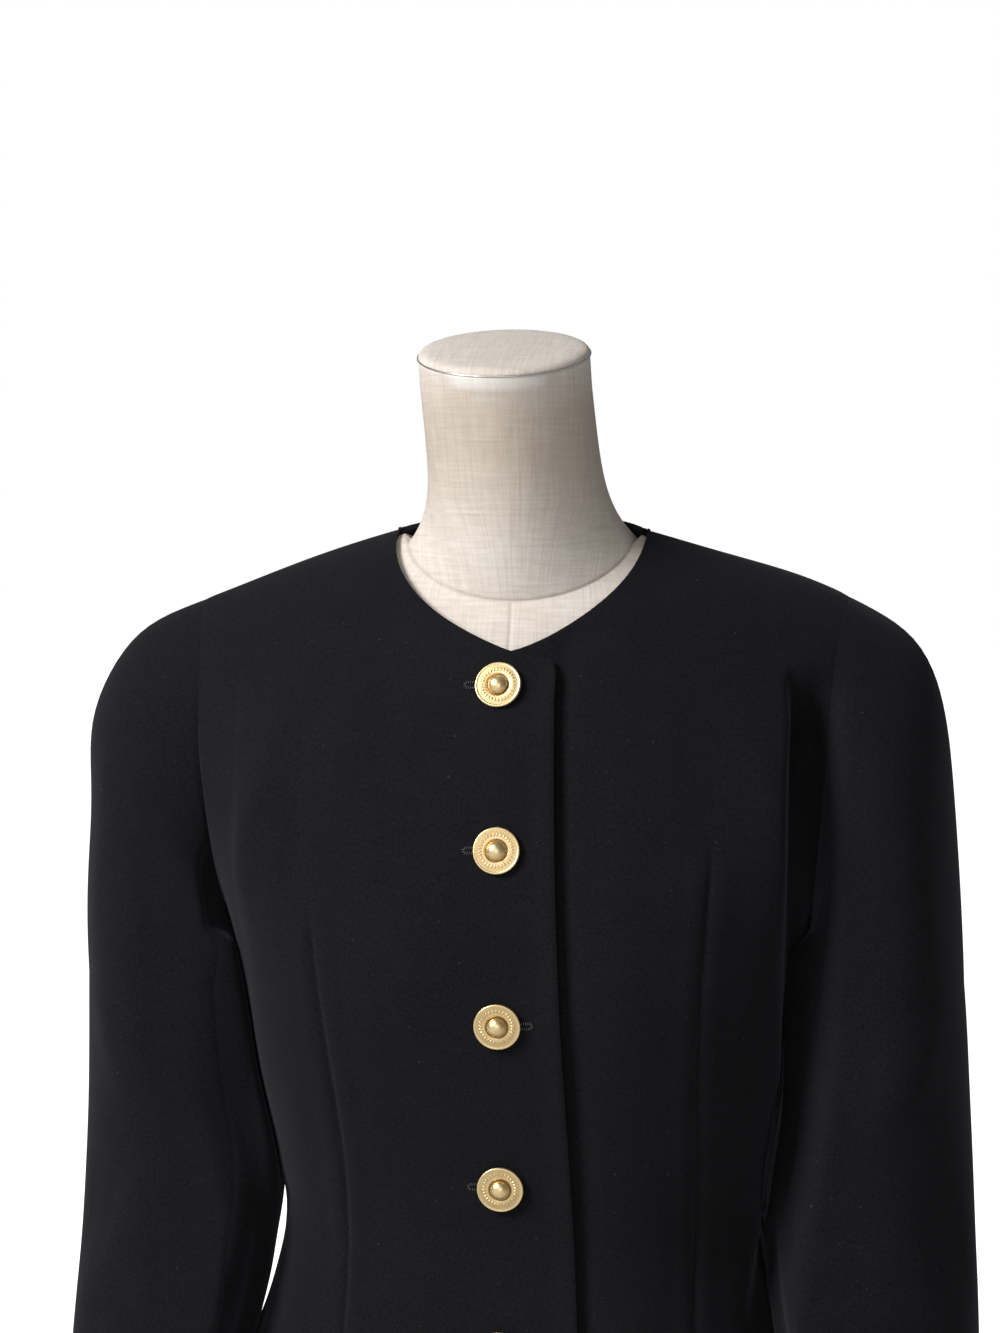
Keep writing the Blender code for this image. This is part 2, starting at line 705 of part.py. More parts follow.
def form_half(facing):
    """Rows of a quarter of the form, from its bottom edge to the neck's base and the shoulder line."""
    shares = [i / FORM_HALF_STEPS for i in range(FORM_HALF_STEPS + 1)]
    neck_share = FORM_NECK_STEPS / FORM_HALF_STEPS
    armpit, end = FORM_SHOULDER_END[0], FORM_SHOULDER_END[-1]
    rows = []
    for drop in FORM_DROPS + (armpit.drop,):
        section = row_at(FORM_SECTIONS, "drop", drop)
        depth = section.front if facing < 0 else section.back
        row = []
        for share in shares:
            angle, power = share * pi / 2, 2 / section.square
            y = facing * depth * max(0, cos(angle)) ** power if share < 1 else 0
            row.append(Vector((section.half_width * sin(angle) ** power, y, height(drop))))
        rows.append(row)
    armpit_row = rows[-1]
    for step in range(1, FORM_UPPER_STEPS + 1):
        rise = step / FORM_UPPER_STEPS
        v = 1 - (1 - rise) ** ARMHOLE_CURVE
        edge = step_at(FORM_SHOULDER_END, rise)
        row = []
        for share, start in zip(shares, armpit_row):
            if share <= neck_share:
                quarter = share / neck_share
                base = form_neck_base(quarter if facing < 0 else 2 - quarter)
                top = Outline(base.x, SIDE_NECK_HEIGHT - base.z)
            else:
                along = (share - neck_share) / (1 - neck_share)
                x = NECK_BASE.half_width + along * (end.x - NECK_BASE.half_width)
                top = Outline(x, form_ridge_drop(x, 0))
            pull = share**3
            x = (1 - v) * start.x + v * top.x + pull * (edge.x - (1 - v) * armpit.x - v * end.x)
            drop = (1 - v) * armpit.drop + v * top.drop
            drop += pull * (edge.drop - (1 - v) * armpit.drop - v * end.drop)
            point = form_point(x, drop, facing)
            if share == 1:
                point.y = SHOULDER_Y * v
            if rise == 1 and share <= neck_share:
                point = base
            elif rise == 1:
                point.y = SHOULDER_Y
            row.append(point)
        rows.append(row)
    return rows


def form():
    """The torso and neck as one closed solid: a half, mirrored."""
    bm = bmesh.new()
    add_grid(bm, form_half(-1))
    add_grid(bm, form_half(1), flipped=True)
    quarter = [i / FORM_NECK_STEPS for i in range(FORM_NECK_STEPS + 1)]
    turns = quarter + [1 + share for share in quarter[1:]]
    add_grid(bm, [neck_ring(i / FORM_NECK_RINGS, turns) for i in range(FORM_NECK_RINGS + 1)])
    bmesh.ops.remove_doubles(bm, verts=bm.verts, dist=1e-5)
    bmesh.ops.mirror(bm, geom=bm.verts[:] + bm.edges[:] + bm.faces[:], axis="X", merge_dist=1e-5)
    bmesh.ops.remove_doubles(bm, verts=bm.verts, dist=1e-5)
    bmesh.ops.holes_fill(bm, edges=[e for e in bm.edges if e.is_boundary], sides=0)
    bmesh.ops.recalc_face_normals(bm, faces=bm.faces)
    mesh = bpy.data.meshes.new("form_torso")
    bm.to_mesh(mesh)
    bm.free()
    new_object("form_torso", mesh, "linen").data.shade_smooth()


def stand():
    """The neck cap, the stem and the round base."""
    cap_rings = (
        Ring(0.000, NECK_CAP_THICKNESS),
        Ring(0.030, NECK_CAP_THICKNESS * 0.9),
        Ring(0.043, NECK_CAP_THICKNESS * 0.6),
        Ring(0.0495, 0.0012),
        Ring(0.0490, 0.0),
        Ring(0.000, 0.0),
    )
    cap = turned("form_neck_cap", cap_rings, "linen", 32)
    tilt = Matrix.Rotation(NECK_TOP_TILT, 4, "X")
    neck_top = Vector((0, NECK_TOP_LEAN, SIDE_NECK_HEIGHT + NECK_TOP_HEIGHT))
    seat = neck_top + tilt.to_3x3() @ Vector((0, 0, SEAM_GAP))
    cap.matrix_world = Matrix.Translation(seat) @ tilt @ Matrix.Diagonal((1, 1.06, 1, 1))
    base_rings = (
        Ring(0.000, BASE_THICKNESS),
        Ring(BASE_RADIUS - 0.003, BASE_THICKNESS),
        Ring(BASE_RADIUS - 0.001, BASE_THICKNESS - 0.001),
        Ring(BASE_RADIUS, BASE_THICKNESS - 0.003),
        Ring(BASE_RADIUS, 0.001),
        Ring(BASE_RADIUS - 0.001, 0.000),
        Ring(0.000, 0.000),
    )
    turned("form_base", base_rings, "steel", 40)
    top = height(FORM_BOTTOM_DROP) - SEAM_GAP
    foot = BASE_THICKNESS + SEAM_GAP
    stem_rings = (
        Ring(0.000, top),
        Ring(0.045, top),
        Ring(0.045, top - 0.004),
        Ring(STEM_RADIUS, top - 0.012),
        Ring(STEM_RADIUS, foot + 0.012),
        Ring(0.030, foot + 0.003),
        Ring(0.030, foot),
        Ring(0.000, foot),
    )
    turned("form_stem", stem_rings, "steel", 28)


# ---- build --------------------------------------------------------------


def clear_scene():
    for obj in list(bpy.data.objects):
        bpy.data.objects.remove(obj, do_unlink=True)


def make_materials():
    made = {}
    for name, finish in FINISHES.items():
        material = bpy.data.materials.new(name)
        material.use_nodes = True
        shader = material.node_tree.nodes["Principled BSDF"]
        shader.inputs["Base Color"].default_value = (*finish.colour, 1)
        shader.inputs["Roughness"].default_value = finish.roughness
        shader.inputs["Metallic"].default_value = finish.metallic
        made[name] = material
    return made


clear_scene()
PARTS = bpy.data.collections.new("jacket_on_form")
bpy.context.scene.collection.children.link(PARTS)
MATERIALS = make_materials()
right_front = front_panels()
back_panel()
sleeves()
buttons(right_front)
form()
stand()
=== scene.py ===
from math import cos, pi, radians, sin

import bmesh
import bpy
import numpy as np
from mathutils import Matrix, Vector


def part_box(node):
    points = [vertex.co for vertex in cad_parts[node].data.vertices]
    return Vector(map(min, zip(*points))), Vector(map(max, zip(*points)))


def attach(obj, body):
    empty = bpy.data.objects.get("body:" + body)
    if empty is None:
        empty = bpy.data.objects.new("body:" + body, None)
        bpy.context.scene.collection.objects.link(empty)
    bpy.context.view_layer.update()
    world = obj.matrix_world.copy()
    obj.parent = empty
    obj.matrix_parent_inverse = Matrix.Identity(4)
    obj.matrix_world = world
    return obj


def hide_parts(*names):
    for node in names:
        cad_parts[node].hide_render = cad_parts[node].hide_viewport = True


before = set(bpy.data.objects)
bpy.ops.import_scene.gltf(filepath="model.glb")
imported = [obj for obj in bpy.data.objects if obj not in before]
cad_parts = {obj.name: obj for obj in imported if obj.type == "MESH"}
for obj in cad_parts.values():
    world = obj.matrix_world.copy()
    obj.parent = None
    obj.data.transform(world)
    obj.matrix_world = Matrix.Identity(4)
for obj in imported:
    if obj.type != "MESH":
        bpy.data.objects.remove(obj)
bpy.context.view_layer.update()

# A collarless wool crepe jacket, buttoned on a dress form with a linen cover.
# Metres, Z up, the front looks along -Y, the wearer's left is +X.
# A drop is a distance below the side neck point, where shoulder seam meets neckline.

bpy.ops.object.select_all(action="DESELECT")
print("frame loaded")


def curveAt(keys, values, at):
    # a smooth curve through the values, read at any number of places
    keys, values = np.array(keys, float), np.array(values, float)
    if keys[0] > keys[-1]:
        keys, values = keys[::-1], values[::-1]
    gaps = np.diff(keys)
    slopes = np.diff(values) / gaps
    inner = (slopes[:-1] * gaps[1:] + slopes[1:] * gaps[:-1]) / (gaps[:-1] + gaps[1:])
    tangents = np.concatenate((slopes[:1], inner, slopes[-1:]))
    at = np.clip(at, keys[0], keys[-1])
    i = np.clip(np.searchsorted(keys, at, side="right") - 1, 0, len(gaps) - 1)
    gap = gaps[i]
    t = (at - keys[i]) / gap
    flat = values[i] * (1 + 2 * t) * (1 - t) ** 2 + values[i + 1] * t * t * (3 - 2 * t)
    return flat + gap * (tangents[i] * t * (1 - t) ** 2 - tangents[i + 1] * t * t * (1 - t))


def columnsAt(table, at):
    # every further column of a table, on its own curve over the first column
    keys = [row[0] for row in table]
    return [curveAt(keys, [row[k] for row in table], at) for k in range(1, len(table[0]))]


def stepsAt(table, share):
    # every column of a table whose rows are evenly spaced from 0 to 1
    keys = np.linspace(0, 1, len(table))
    return [curveAt(keys, [row[k] for row in table], share) for k in range(len(table[0]))]


def fade(value):
    t = np.clip(value, 0, 1)
    return t * t * (3 - 2 * t)


def points(x, y, drop):
    x, y, drop = np.broadcast_arrays(x, y, drop)
    return np.stack((x, y, body["sideNeckHeight"] - drop), axis=-1)


def dropOf(grid):
    return body["sideNeckHeight"] - grid[..., 2]


body = {
    "sideNeckHeight": 0.810,
    "neckHalfWidth": 0.0735,
    "neckDropFront": 0.0640,
    "neckRiseBack": 0.0080,
    "neckV": 1.15,  # 2 would be a round neckline, 1 a plain V
    "shoulderHalfWidth": 0.190,
    "shoulderDrop": 0.041,
    "shoulderBulge": 0.002,
    "shoulderY": 0.004,
    "neckShare": 5 / 12,  # share of a half panel that ends at the neckline
    "armholeCurve": 1.5,
    # drop, half width, depth in front, depth behind, squareness
    "levels": [
        (0.620, 0.192, 0.127, 0.129, 2.20),
        (0.560, 0.184, 0.121, 0.123, 2.20),
        (0.500, 0.168, 0.112, 0.110, 2.20),
        (0.450, 0.149, 0.104, 0.095, 2.20),
        (0.405, 0.138, 0.100, 0.086, 2.40),
        (0.360, 0.1405, 0.105, 0.089, 2.70),
        (0.310, 0.151, 0.115, 0.096, 2.85),
        (0.260, 0.161, 0.124, 0.102, 2.85),
        (0.225, 0.170, 0.123, 0.104, 2.80),
    ],
    "armpitDrop": 0.225,
    # x and drop of the armhole, from the armpit to the shoulder
    "armhole": {
        -1: [(0.1700, 0.2250), (0.1715, 0.2110), (0.1755, 0.1780), (0.1795, 0.1400),
             (0.1820, 0.1000), (0.1855, 0.0670), (0.190, 0.041)],
        1: [(0.1700, 0.2250), (0.1700, 0.2110), (0.1715, 0.1770), (0.1745, 0.1370),
            (0.1785, 0.0960), (0.1840, 0.0650), (0.190, 0.041)],
    },
    # from the armpit up to the shoulder, in front (-1) and behind (1)
    "dome": {
        -1: {"peak": 0.000, "fall": 1.5, "rounding": 0.6, "widening": 0.30},
        1: {"peak": 0.030, "fall": 2.6, "rounding": 0.6, "widening": 0.40},
    },
    # x, drop, half length, half width, height, lean of the broad soft forms
    "forms": {
        -1: [(0.142, 0.170, 0.085, 0.020, 0.0045, 0.10),
             (0.112, 0.400, 0.120, 0.016, -0.0025, -0.10),
             (0.140, 0.520, 0.080, 0.026, 0.0040, 0.20)],
        1: [(0.145, 0.165, 0.080, 0.022, 0.0040, 0.06),
            (0.080, 0.405, 0.120, 0.020, -0.0025, 0.00),
            (0.100, 0.530, 0.080, 0.028, 0.0040, 0.10)],
    },
}


def ridgeDrop(x, peak):
    # the shoulder line, and inside the neck an imagined peak
    inner, outer = body["neckHalfWidth"], body["shoulderHalfWidth"]
    slope = body["shoulderDrop"] / (outer - inner)
    rise = peak * np.maximum(0, 1 - (x / inner) ** 2) ** 1.5
    along = np.clip((x - inner) / (outer - inner), 0, 1)
    return slope * (x - inner) - rise - 4 * body["shoulderBulge"] * along * (1 - along)


def broadForms(forms, x, drop):
    total = 0
    for x0, drop0, halfLength, halfWidth, height, lean in forms:
        along = np.clip((drop - drop0) / halfLength, -1, 1)
        across = (x - x0 - lean * (drop - drop0)) / halfWidth
        total = total + height * np.cos(along * pi / 2) ** 2 / (1 + across**4)
    return total


def squareRound(part, square):
    # height of a rounded square of that squareness, at a part of its half width
    return np.maximum(0, 1 - np.abs(part) ** square) ** (1 / square)


def domeDepth(x, drop, facing, armpit, halfWidth, ridge, forms=0):
    # how far a rounded shoulder lies forward or back, above the armpit
    dome, y0 = body["dome"][facing], body["shoulderY"]
    level = (armpit[2] if facing < 0 else armpit[3]) * squareRound(x / halfWidth, armpit[4])
    fallen = np.clip((drop - ridge) / (armpit[0] - ridge), 0, 1)
    swell = (1 - (1 - fallen) ** dome["fall"]) ** dome["rounding"]
    return y0 + facing * (level - facing * y0 + forms) * swell


def bodyDepth(x, drop, facing):
    x, armpit, dome = np.abs(x), body["levels"][-1], body["dome"][facing]
    halfWidth = armpit[1] + dome["widening"] * np.maximum(0, armpit[0] - drop)
    forms = broadForms(body["forms"][facing], x, drop)
    return domeDepth(x, drop, facing, armpit, halfWidth, ridgeDrop(x, dome["peak"]), forms)


def frontDepth(x, drop):
    # the same anywhere on the middle of the front
    halfWidth, front, back, square = columnsAt(body["levels"], drop)
    low = -front * squareRound(x / halfWidth, square)
    return np.where(drop >= body["armpitDrop"], low, bodyDepth(x, drop, -1))


def lowerPoints(share, drop, facing, shape=body):
    # the outer face at or below the armpit; share is 0 at the centre and 1 at the side
    halfWidth, front, back, square = columnsAt(shape["levels"], drop)
    angle, power = share * pi / 2, 2 / square
    x = halfWidth * np.sin(angle) ** power
    depth = front if facing < 0 else back
    level = np.maximum(0, np.cos(angle))
    out = broadForms(shape["forms"][facing], x, drop) * level**0.5
    return points(x, facing * (depth * level**power + out), drop)


def risen(share, rise, start, top, side):
    # x and drop between two edges, the end of each row drawn on to the side's own line
    v = 1 - (1 - rise) ** body["armholeCurve"]
    made = []
    for low, high, edge, first, last in zip(start, top, stepsAt(side, rise), side[0], side[-1]):
        plain = (1 - v) * low + v * high
        made.append(plain + share**3 * (edge - (1 - v) * first - v * last))
    return made


def topEdge(share, facing):
    # x and drop of a half panel's upper edge: neckline, then shoulder seam
    inner, outer, neck = body["neckHalfWidth"], body["shoulderHalfWidth"], body["neckShare"]
    turn = np.clip(share / neck, 0, 1) * pi / 2
    neckX = inner * np.sin(turn)
    if facing < 0:
        neckDrop = body["neckDropFront"] * np.maximum(0, 1 - np.sin(turn) ** body["neckV"]) ** 0.5
    else:
        neckDrop = -body["neckRiseBack"] * np.cos(turn)
    seamX = inner + np.clip((share - neck) / (1 - neck), 0, 1) * (outer - inner)
    onNeck = share <= neck
    return np.where(onNeck, neckX, seamX), np.where(onNeck, neckDrop, ridgeDrop(seamX, 0))


def upperPoints(share, rise, facing):
    # the outer face above the armpit; rise is 0 there and 1 at the top edge
    armpitDrop = body["armpitDrop"]
    start = lowerPoints(share, np.full(np.shape(share), armpitDrop), facing)
    topX, topDrop = topEdge(share, facing)
    ends = (start[..., 0], armpitDrop), (topX, topDrop)
    x, drop = risen(share, rise, *ends, body["armhole"][facing])
    made = points(x, bodyDepth(x, drop, facing), drop)
    strip = (rise > 0.985) & (share >= body["neckShare"] - 1e-9)  # level across the seam
    level = points(topX, body["shoulderY"] + facing * 0.2 * (1 - rise), topDrop)
    made = np.where(strip[..., None], level, made)
    return np.where((rise <= 0)[..., None], start, made)


def armholePoints(turn):
    # the armhole seam: 0 and 1 the shoulder, 0.25 the front, 0.5 the armpit
    one = np.ones_like(turn)
    before = upperPoints(one, np.clip(1 - 2 * turn, 0, 1), -1)
    behind = upperPoints(one, np.clip(2 * turn - 1, 0, 1), 1)
    return np.where((turn <= 0.5)[..., None], before, behind)


cloth = {
    "wall": 0.0018,
    "sewnOver": 0.00012,  # both pieces reach this far past the seam between them
    "seamDepth": 0.0009,  # how far the cloth swells beside a seam
    "seamWidth": 0.0019,
    "seamReach": 0.0140,
    "edgeDepth": 0.0005,  # a free edge turns in
    "edgeWidth": 0.0013,
    "dartDepth": 0.0012,
    "dartWidth": 0.0019,
    "dartPuff": 0.0009,  # the cloth stands up beside a dart
    "shoulderSeam": 0.4,  # the share of a seam's swelling on the shoulder
    "sleeveSeam": 0.3,
    "edgeBevel": 0.00028,
}
edgeSteps = np.array([0.0, 0.0009, 0.0018, 0.0029, 0.0044, 0.0068, 0.0100])


def runAlong(grid, axis):
    # length along the rows (1) or the columns (0) of a grid of points
    step = np.linalg.norm(np.diff(grid, axis=axis), axis=-1)
    first = np.zeros_like(np.take(step, [0], axis=axis))
    return np.cumsum(np.concatenate((first, step), axis=axis), axis=axis)


def gridNormals(grid, side):
    normals = np.cross(np.gradient(grid, axis=1), np.gradient(grid, axis=0)) * side
    return normals / np.maximum(np.linalg.norm(normals, axis=-1, keepdims=True), 1e-12)


def creasesAt(creases, girth, drop):
    # each crease: girth, drop, degrees from the vertical, half length, half width, height, bow
    total = np.zeros(np.broadcast(girth, drop).shape)
    for girth0, drop0, degrees, halfLength, halfWidth, height, bow in creases:
        a = radians(degrees)
        dx, dd = girth - girth0, drop - drop0
        along = (dx * sin(a) + dd * cos(a)) / halfLength
        across = (dx * cos(a) - dd * sin(a)) / halfWidth + bow * along**2
        reach = np.cos(np.clip(along, -1, 1) * pi / 2) ** 2
        total = total + height * reach * np.exp(-across * across)
    return total


def pressedSeam(distance):
    # the seam line stays where it is, and the cloth swells on both sides of it
    swell = cloth["seamDepth"] * (1 - np.exp(-(distance / cloth["seamWidth"]) ** 2))
    return swell * np.exp(-(distance / cloth["seamReach"]) ** 2)


def quietAbove(drop):
    # the armhole seam is hardly seen on the shoulder
    return 0.06 + 0.94 * fade((drop - 0.080) / 0.090)


def turnedEdge(distance):
    return -cloth["edgeDepth"] * np.exp(-(distance / cloth["edgeWidth"]) ** 2)


def sewn(line, beside):
    # a seam line moved a little past itself, square to its run, to let no light through
    run = np.gradient(line, axis=0)
    run /= np.maximum(np.linalg.norm(run, axis=-1, keepdims=True), 1e-12)
    across = beside - line
    across -= run * (across * run).sum(-1, keepdims=True)
    across /= np.maximum(np.linalg.norm(across, axis=-1, keepdims=True), 1e-12)
    return line - across * cloth["sewnOver"]


# how the worn jacket differs from its even pattern, all in metres
settling = {
    "leftShoulderLift": 0.0046,  # the wearer's left shoulder sits higher
    "rightShoulderFall": 0.0014,
    "shoulderPlace": (0.173, 0.048),  # distance from the middle, and reach
    "rightSleeveOut": 0.0082,
    "rightSleevePlaces": [(0.112, 0.040, 1.0), (0.22, 0.085, 0.62)],  # drop, reach, share
    "leftSleeveOut": 0.0052,
    "leftWaistOut": 0.0055,
    "rightWaistOut": 0.0040,
    "waistPlace": (0.350, 0.070),  # drop and reach
    "neckShift": 0.0035,  # the tip of the neckline lies beside the centre
    "neckPlace": (0.045, 0.062, 0.022),  # reach across, drop, reach down
    # drop and x of the line where the front falls back beside a sleeve
    "valleyLine": [(0.060, 0.1560), (0.092, 0.1542), (0.207, 0.1525),
                   (0.327, 0.1430), (0.362, 0.1385), (0.420, 0.1330)],
    "leftLip": 0.0060,  # how far the front folds over the hollow
    "lipWidths": (0.0035, 0.018),  # over the hollow and towards the middle
    "leftValley": 0.0260,  # depth of the hollow beside it
    "rightValley": 0.0012,
}


def bell(distance, reach):
    return np.exp(-(distance / reach) ** 2)


def between(value, start, rise, end, fall):
    # 0 outside and 1 inside, with soft ends
    return fade((value - start) / rise) * (1 - fade((value - end) / fall))


def settled(grid):
    # one field for all the cloth, so that pieces that are sewn together stay together
    s, made = settling, grid.copy()
    x, y, drop = grid[..., 0], grid[..., 1], dropOf(grid)
    side, left = np.abs(x), x > 0
    across, reach = s["shoulderPlace"]
    high = bell(side - across, reach) * (1 - fade((drop - 0.03) / 0.10))
    made[..., 2] += np.where(left, s["leftShoulderLift"], -s["rightShoulderFall"]) * high
    outer = fade((side - 0.150) / 0.09)
    upper = sum(share * bell(drop - at, reach) for at, reach, share in s["rightSleevePlaces"])
    made[..., 0] -= s["rightSleeveOut"] * outer * upper * (x < 0)
    lower = fade((drop - 0.13) / 0.17) * (1 - 0.7 * fade((drop - 0.42) / 0.16))
    made[..., 0] += s["leftSleeveOut"] * outer * lower * left
    at, reach = s["waistPlace"]
    waist = bell(drop - at, reach) * between(side, 0.06, 0.07, 0.155, 0.06)
    made[..., 0] += np.where(left, s["leftWaistOut"], -s["rightWaistOut"]) * waist
    wide, at, reach = s["neckPlace"]
    made[..., 0] += s["neckShift"] * bell(x, wide) * bell(drop - at, reach) * (y < 0)
    beyond = side - columnsAt(s["valleyLine"], drop)[0]
    tall = between(drop, 0.074, 0.036, 0.400, 0.070) * fade((-y - 0.004) / 0.026)
    over, inward = s["lipWidths"]
    lip = bell(np.maximum(beyond, 0), over) * bell(np.minimum(beyond, 0), inward)
    hollow = between(beyond, 0, 0.0060, 0.016, 0.024)
    made[..., 0] += lip * tall * s["leftLip"] * left
    made[..., 1] += hollow * tall * np.where(left, s["leftValley"], s["rightValley"])
    return made


def mirroredGrid(grid):
    return grid[:, ::-1] * np.array((-1.0, 1.0, 1.0))


def applyAll(piece):
    bpy.ops.object.select_all(action="DESELECT")
    piece.select_set(True)
    bpy.context.view_layer.objects.active = piece
    for modifier in list(piece.modifiers):
        bpy.ops.object.modifier_apply(modifier=modifier.name)


def newObject(name, data):
    made = bpy.data.objects.new(name, data)
    bpy.context.scene.collection.objects.link(made)
    return made


def setCut(mesh, places):
    # each point's place in the flat cut, which the weave follows
    layer = mesh.uv_layers.new(name="cut")
    order = np.empty(len(mesh.loops), int)
    mesh.loops.foreach_get("vertex_index", order)
    layer.data.foreach_set("uv", np.asarray(places, np.float32)[order].ravel())
    layer.active = layer.active_render = True


def clothPiece(name, grid, cut):
    # a wall of cloth whose outer face runs through the grid
    grid = settled(grid)
    rows, columns = grid.shape[:2]
    index = np.arange(rows * columns).reshape(rows, columns)
    quads = np.stack((index[:-1, :-1], index[:-1, 1:], index[1:, 1:], index[1:, :-1]), -1)
    mesh = bpy.data.meshes.new(name)
    mesh.from_pydata(grid.reshape(-1, 3).tolist(), [], quads.reshape(-1, 4).tolist())
    setCut(mesh, cut.reshape(-1, 2))
    mesh.validate()
    piece = newObject(name, mesh)
    mesh.materials.append(woolMaterial)
    wall = piece.modifiers.new("wall", "SOLIDIFY")
    wall.thickness, wall.offset, wall.use_rim = cloth["wall"], -1, True
    rim = piece.modifiers.new("rim", "BEVEL")
    rim.width, rim.segments, rim.limit_method = cloth["edgeBevel"], 2, "ANGLE"
    rim.angle_limit = radians(55)
    applyAll(piece)
    piece.data.shade_smooth()
    return piece


def addNode(tree, kind, inputs, output=0, **settings):
    # a node whose inputs are plain values or other nodes' outputs
    node = tree.nodes.new("ShaderNode" + kind)
    for name, value in settings.items():
        setattr(node, name, value)
    for socket, value in inputs.items():
        if isinstance(value, bpy.types.NodeSocket):
            tree.links.new(value, node.inputs[socket])
        else:
            node.inputs[socket].default_value = value
    return node.outputs[output]


def mathNode(tree, operation, first, second):
    return addNode(tree, "Math", {0: first, 1: second}, operation=operation)


def weighted(tree, *parts):
    # the sum of some values, each times its own weight
    total = 0
    for value, weight in parts:
        total = addNode(tree, "Math", {0: value, 1: weight, 2: total}, operation="MULTIPLY_ADD")
    return total


def noiseAt(tree, vector, scale, detail=2, rough=0.5, warp=0):
    # three scales instead of one stretch the noise
    if isinstance(scale, tuple):
        vector, scale = addNode(tree, "Mapping", {"Vector": vector, "Scale": scale}), 1
    values = {"Scale": scale, "Detail": detail, "Roughness": rough, "Distortion": warp}
    return addNode(tree, "TexNoise", {"Vector": vector, **values}, "Fac")


def rampAt(tree, value, low, high):
    return addNode(tree, "MapRange", {"Value": value, "From Min": low, "From Max": high})


def colourMix(tree, factor, first, second):
    first, second = ((*c, 1) if isinstance(c, tuple) else c for c in (first, second))
    return addNode(tree, "Mix", {0: factor, 6: first, 7: second}, 2, data_type="RGBA")


def newGroup(name, inputs, outputs):
    group = bpy.data.node_groups.new(name, "ShaderNodeTree")
    for label in inputs:
        kind = "NodeSocketVector" if label == "Vector" else "NodeSocketFloat"
        group.interface.new_socket(name=label, in_out="INPUT", socket_type=kind)
    for label in outputs:
        group.interface.new_socket(name=label, in_out="OUTPUT", socket_type="NodeSocketFloat")
    given, result = (group.nodes.new("NodeGroup" + end) for end in ("Input", "Output"))
    return group, given.outputs, result.inputs


def makeThreads():
    # streaks of uneven yarn both ways, thick slubs, and the over and under of a plain weave
    labels = ("Streaks", "Slubs", "Height")
    group, given, result = newGroup("unevenThreads", ["Vector"], labels)
    vector = given["Vector"]
    warp = noiseAt(group, vector, (620, 26, 1), 2, 0.6)
    weft = noiseAt(group, vector, (30, 560, 1), 2, 0.6)
    longSlubs = rampAt(group, noiseAt(group, vector, (330, 17, 1), 1, 0.4), 0.60, 0.78)
    wideSlubs = rampAt(group, noiseAt(group, vector, (19, 300, 1), 1, 0.4), 0.62, 0.80)
    slubs = mathNode(group, "MAXIMUM", longSlubs, wideSlubs)
    streaks = weighted(group, (warp, 0.5), (weft, 0.5))
    wave = {"Vector": vector, "Scale": 450, "Distortion": 0.8, "Detail Scale": 1.5}
    waves = [addNode(group, "TexWave", wave, "Fac", bands_direction=way) for way in "XY"]
    weave = mathNode(group, "MULTIPLY", *waves)
    height = weighted(group, (weave, 0.55), (streaks, 0.7), (slubs, 0.5))
    for label, value in zip(labels, (streaks, slubs, height)):
        group.links.new(value, result[label])
    return group


def makeCloudy():
    # large and small clouds, for wear and for uneven dye
    group, given, result = newGroup("cloudyTone", ("Vector", "Large", "Small"), ["Mask"])
    large = noiseAt(group, given["Vector"], given["Large"], 3)
    small = noiseAt(group, given["Vector"], given["Small"], 4)
    both = weighted(group, (large, 0.62), (small, 0.38))
    group.links.new(rampAt(group, both, 0.34, 0.66), result["Mask"])
    return group


threadsGroup, cloudyGroup = makeThreads(), makeCloudy()


def cloudsAt(tree, vector, large, small):
    scales = {"Vector": vector, "Large": large, "Small": small}
    return addNode(tree, "Group", scales, "Mask", node_tree=cloudyGroup)


def newMaterial(name, values):
    # the material, its nodes, its surface's inputs, and places on the piece
    material = bpy.data.materials.new(name)
    material.use_nodes = True
    tree = material.node_tree
    surface = tree.nodes["Principled BSDF"].inputs
    for socket, value in values.items():
        surface[socket].default_value = value
    return material, tree, surface, tree.nodes.new("ShaderNodeTexCoord").outputs["Object"]


def attributeAt(tree, name):
    return addNode(tree, "Attribute", {}, "Fac", attribute_name=name)


def bumped(tree, surface, height, strength, distance):
    values = {"Height": height, "Strength": strength, "Distance": distance}
    tree.links.new(addNode(tree, "Bump", values), surface["Normal"])


wool = {
    "dark": (0.0014, 0.0013, 0.0018),
    "pale": (0.0094, 0.0088, 0.0107),
    "lint": (0.0240, 0.0230, 0.0260),
    "roughness": 0.88,
    "sheen": 0.06,
    "sheenTint": (0.86, 0.84, 1.00),
    "specular": 0.10,
}


def makeWool():
    material, tree, surface, place = newMaterial("woolCrepe", {
        "Roughness": wool["roughness"],
        "Specular IOR Level": wool["specular"],
        "Sheen Weight": wool["sheen"],
        "Sheen Tint": (*wool["sheenTint"], 1),
    })
    cut = place.node.outputs["UV"]
    pebble = noiseAt(tree, cut, (640, 540, 1), 3, 0.7, 0.6)
    fibres = noiseAt(tree, cut, (1700, 600, 1), 2, 0.6, 0.3)
    grain = weighted(tree, (pebble, 0.55), (fibres, 0.45))
    clouds = cloudsAt(tree, place, 9, 70)
    tone = weighted(tree, (rampAt(tree, grain, 0.36, 0.64), 0.78), (clouds, 0.22))
    colour = colourMix(tree, tone, wool["dark"], wool["pale"])
    speck = noiseAt(tree, cut, (420, 380, 1), 0)
    colour = colourMix(tree, rampAt(tree, speck, 0.84, 0.88), colour, wool["lint"])
    tree.links.new(colour, surface["Base Color"])
    bumped(tree, surface, grain, 0.55, 0.00035)
    return material


linen = {
    "pale": (0.810, 0.745, 0.680),
    "tan": (0.570, 0.485, 0.400),
    "dark": (0.330, 0.275, 0.225),
    # painted pale as a highlight on the tape, where the rolled edge under the rim catches the light
    "tapeHighlight": (0.860, 0.830, 0.790),
    # where the neck is more tan: two heights it comes in between, and two it goes between
    "tanHeights": ((0.800, 0.860), (0.910, 0.880)),
}


